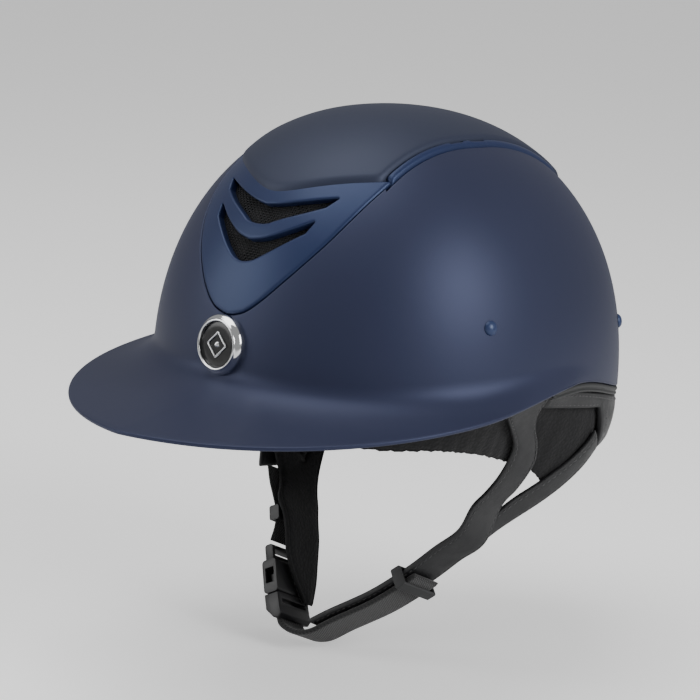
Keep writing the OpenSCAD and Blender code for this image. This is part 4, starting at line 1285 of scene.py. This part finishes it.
def strap_flap():
    """The soft lining of the right straps: two arms under the skirt, and a tongue behind the buckle."""
    span = np.linspace(0, 1, 33)
    top = even(through(FLAP_TOP, 8), 0.1)
    share = np.linspace(0, 1, len(top))
    rows = []
    for t in span:
        a, z = np.interp(t, share, top[:, 0]), np.interp(t, share, top[:, 1])
        b, y = mix(np.array(FLAP_MIDDLE[0]), np.array(FLAP_MIDDLE[1]), t)
        spots = [skin(-a, z, STRAP_T + SKIRT_GAP + 1.6), skin(-b, y, STRAP_T + SKIRT_GAP + 3.7)]
        spots += [chin(u, v, mix(f, r, t)) for (u, v), f, r in zip(FLAP, FLAP_FRONT, FLAP_REAR)]
        rows.append(through(spots, 12))
    cloth = np.stack(rows, 1)

    def base(t):
        k = np.clip(t, 0, 1) * (len(span) - 1)
        i = np.minimum(k.astype(int), len(span) - 2)
        f = (k - i)[None, :, None]
        return cloth[:, i] * (1 - f) + cloth[:, i + 1] * f

    flap = Ribbon(base, 2.4, outward, puff=0.4, groove=1.9, round_r=1.2)
    obj = flap.solid("soft_flap", KNIT, "helmet", "pad_fabric", ["right_strap_pad"])
    runs = [flap.seam(1.9, first=0.1), flap.seam(1.9, far=True, first=0.1)]
    sew("flap_stitches", runs, "helmet", "pad_fabric")


# ---- hard parts ----
def softened(node, name, look, body, width=0.35, segments=3):
    """A moulded part: the CAD node's shape with its edges rounded."""
    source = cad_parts[node]
    mesh = source.data.copy()
    mesh.name = name
    obj = bpy.data.objects.new(name, mesh)
    obj.matrix_world = source.matrix_world.copy()
    bpy.context.scene.collection.objects.link(obj)
    work = bmesh.new()
    work.from_mesh(mesh)
    bmesh.ops.remove_doubles(work, verts=work.verts, dist=1e-6)
    bmesh.ops.dissolve_limit(work, angle_limit=math.radians(0.6), verts=work.verts, edges=work.edges)
    work.to_mesh(mesh)
    work.free()
    mesh.materials.clear()
    mesh.materials.append(look)
    bevel = obj.modifiers.new("round", "BEVEL")
    bevel.width = width * MM
    bevel.segments = segments
    bevel.limit_method = "ANGLE"
    bevel.angle_limit = math.radians(35)
    bevel.use_clamp_overlap = True
    apply_modifiers(obj)
    obj.data.set_sharp_from_angle(angle=math.radians(38))
    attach(obj, body)
    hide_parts(node)
    return obj


def lathe(profile, spot, axis, steps=72):
    """Points and faces of a turned shape, from (radius, height) pairs along an axis."""
    axis = unit(axis)
    x = unit(np.cross(axis, [0.1, 0.2, 1.0]))
    y = np.cross(axis, x)
    a = np.arange(steps) * 2 * math.pi / steps
    ring = np.cos(a)[:, None] * x + np.sin(a)[:, None] * y
    rows = np.stack([spot + ring * r + axis * h for r, h in profile], 1)
    n, m = rows.shape[:2]
    return rows.reshape(-1, 3), grid_faces(n, m, wrap_rows=True)


# Bearing and height of the rivets on one side
RIVET_SPOTS = ((72, 51.5), (142, 35.5))


def rivet_frames():
    """Each rivet's place and the direction that it faces."""
    for side in (-1, 1):
        for bearing, z in RIVET_SPOTS:
            p, q, h = level(side * bearing, z), level(side * bearing, z + 2), level(side * bearing + 2, z)
            axis = unit(np.cross(h - p, q - p))
            if axis @ (p - np.array([0, DOME_Y, 0])) < 0:
                axis = -axis
            yield p, axis


def rivets():
    head = [(0.01, 2.0), (1.0, 1.95), (1.9, 1.7), (2.7, 1.25), (3.25, 0.75), (3.55, 0.3), (3.6, 0.05),
            (3.35, -0.15), (2.4, -0.15), (2.4, -5.8), (0.01, -5.8)]
    washer = [(2.45, -5.4), (6.8, -5.4), (7.0, -5.2), (7.0, -4.6), (6.8, -4.4), (2.45, -4.4)]
    heads, washers = [], []
    for spot, axis in rivet_frames():
        heads.append(lathe(head, spot, axis, 48))
        washers.append(lathe(washer, spot, axis, 48))
    outside(piece("rivet_heads", *gather(heads), RIVET, "helmet", "rivet_paint", ["harness_rivets"],
                  sharp=50))
    outside(piece("washers", *gather(washers), STEEL, "helmet", "steel", ["rivet_washers"], sharp=40))


def badge():
    lean = math.radians(83)
    spot = level(0.0, 36.0)
    axis = np.array([0, -math.sin(lean), math.cos(lean)])
    up = np.array([0, math.cos(lean), math.sin(lean)])
    profile = [(11.0, 0.9), (11.0, 3.2)]
    for t in np.radians(np.arange(180, -1, -15)):
        profile.append((11.75 + 0.65 * math.cos(t), 3.75 + 0.55 * math.sin(t)))
    profile += [(13.0, 3.3), (13.7, 2.7), (14.2, 2.1), (14.45, 1.5), (14.5, 0.6), (14.5, -0.9)]
    ring = lathe(profile, spot, axis, 160)
    outside(piece("badge_rim", *ring, CHROME, "helmet", "chrome", ["badge_bezel"], sharp=60))
    disc = [(0.01, 2.9), (4, 2.9), (8, 2.88), (10.6, 2.8), (11.1, 2.6), (11.1, 1.0)]
    face = lathe(disc, spot, axis, 96)
    outside(piece("badge_disc", *face, INLAY, "helmet", "badge_black", ["badge_inlay"]))
    corners = [up * 6, np.array([6.0, 0, 0]), -up * 6, np.array([-6.0, 0, 0])]
    parts = []
    for k in range(4):
        a, b = corners[k], corners[(k + 1) % 4]
        path = spot + axis * 3.2 + np.stack([mix(a, b, t) for t in np.linspace(0, 1, 12)])
        parts.append(tube_run(path, 0.55, 12, axis))
    parts.append(lathe([(0.01, 4.1), (0.6, 4.0), (1.1, 3.7), (1.4, 3.2), (1.5, 2.8)], spot, axis, 32))
    outside(piece("badge_diamond", *gather(parts), CHROME, "helmet", "chrome", ["badge_motif"]))


# ---- build ----
outer_shell()
brim_lining()
rear_bead()
vent_panel("front_shield", FRONT, FRONT_SIDE, FRONT_CHEVRON, (UPPER, LOWER), "front_vent_panel")
vent_panel("rear_shield", REAR, REAR_SIDE, REAR_CHEVRON, (BACK_VENT,), "rear_vent_panel")
crown_panel()
rail(1)
rail(-1)
vent_mesh("upper_mesh", FRONT, UPPER, "upper_vent_mesh")
vent_mesh("lower_mesh", FRONT, LOWER, "lower_vent_mesh")
vent_mesh("rear_mesh", REAR, BACK_VENT, "rear_vent_mesh")
impact_liner()
headband()
crown_pad()
rivets()
badge()
nape_band()
left_strap()
harness_strap("left_rear_leather", REAR_LOW, REAR_TOP, 1, "left_rear_strap")
harness_strap("right_front_leather", FORE + [[80.5, -54, 0]], AFT, -1, "right_front_strap")
harness_strap("right_rear_leather", REAR_LOW, REAR_TOP, -1, "right_rear_strap")
comfort_skirt()
webbing_strap("chin_webbing_strap", WEB, 2 * WEB_T, "chin_strap", "chin_webbing")
webbing_strap("right_webbing_strap", RIGHT_WEB, WEB_T, "helmet", "right_webbing")
strap_flap()
softened("buckle_socket", "socket_moulding", HARD, "helmet", 0.6)
softened("buckle_plug", "plug_moulding", HARD, "chin_strap", 0.5)
softened("front_latch_arm", "front_arm_moulding", HARD, "front_arm", 0.3)
softened("rear_latch_arm", "rear_arm_moulding", HARD, "rear_arm", 0.3)
softened("web_slider", "slider_moulding", HARD, "slider", 0.4)
softened("strap_keeper", "keeper_loop", RUBBER, "keeper", 0.5)
softened("panel_clips", "clip_mouldings", HARD, "helmet", 0.2, 2)
softened("liner_fastener_discs", "hook_discs", KNIT, "helmet", 0.2, 2)


# ---- floor and light ----
def studio():
    """A pale floor, an even sky and three soft lights."""
    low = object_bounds()[0].z
    bpy.ops.mesh.primitive_plane_add(size=30, location=(0, 0, low - 0.002))
    floor = bpy.context.object
    floor.name = "floor"
    look = Look("floor_white")
    cloud = look.noise(look.place(), 2)
    look.finish(Base_Color=look.tint(cloud, (0.9, 0.9, 0.9), (0.92, 0.92, 0.92)),
                Roughness=look.ramp(cloud, 0.6, 0.7))
    # the camera sees a bright floor, while the helmet is lit by a dimmer one
    seen = look.ramp(look.add("LightPath").outputs["Is Camera Ray"], 0.0, 0.42)
    look.finish(Emission_Color=(1, 1, 1, 1), Emission_Strength=seen)
    floor.data.materials.append(look.material)
    floor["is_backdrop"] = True
    world = bpy.data.worlds.new("studio")
    world.use_nodes = True
    tree = world.node_tree
    background = tree.nodes["Background"]
    background.inputs["Color"].default_value = (1, 1, 1, 1)
    path = tree.nodes.new("ShaderNodeLightPath")
    level_of = tree.nodes.new("ShaderNodeMapRange")
    level_of.inputs["To Min"].default_value = 0.32
    level_of.inputs["To Max"].default_value = 1.0
    tree.links.new(path.outputs["Is Camera Ray"], level_of.inputs["Value"])
    tree.links.new(level_of.outputs["Result"], background.inputs["Strength"])
    bpy.context.scene.world = world
    for name, spot, size, power in (
        # name, place, size and power of each soft light
        ("key_right", (1.5, 0.15, 0.75), 0.8, 20),
        ("top_soft", (-0.3, -0.3, 1.6), 1.3, 17),
        ("front_fill", (-1.1, -1.3, 0.6), 0.9, 9),
    ):
        data = bpy.data.lights.new(name, "AREA")
        data.energy = power
        data.size = size
        lamp = bpy.data.objects.new(name, data)
        lamp.location = spot
        lamp.rotation_euler = (Vector((0, 0, 0.05)) - Vector(spot)).to_track_quat("-Z", "Y").to_euler()
        bpy.context.scene.collection.objects.link(lamp)
        lamp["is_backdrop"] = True


studio()
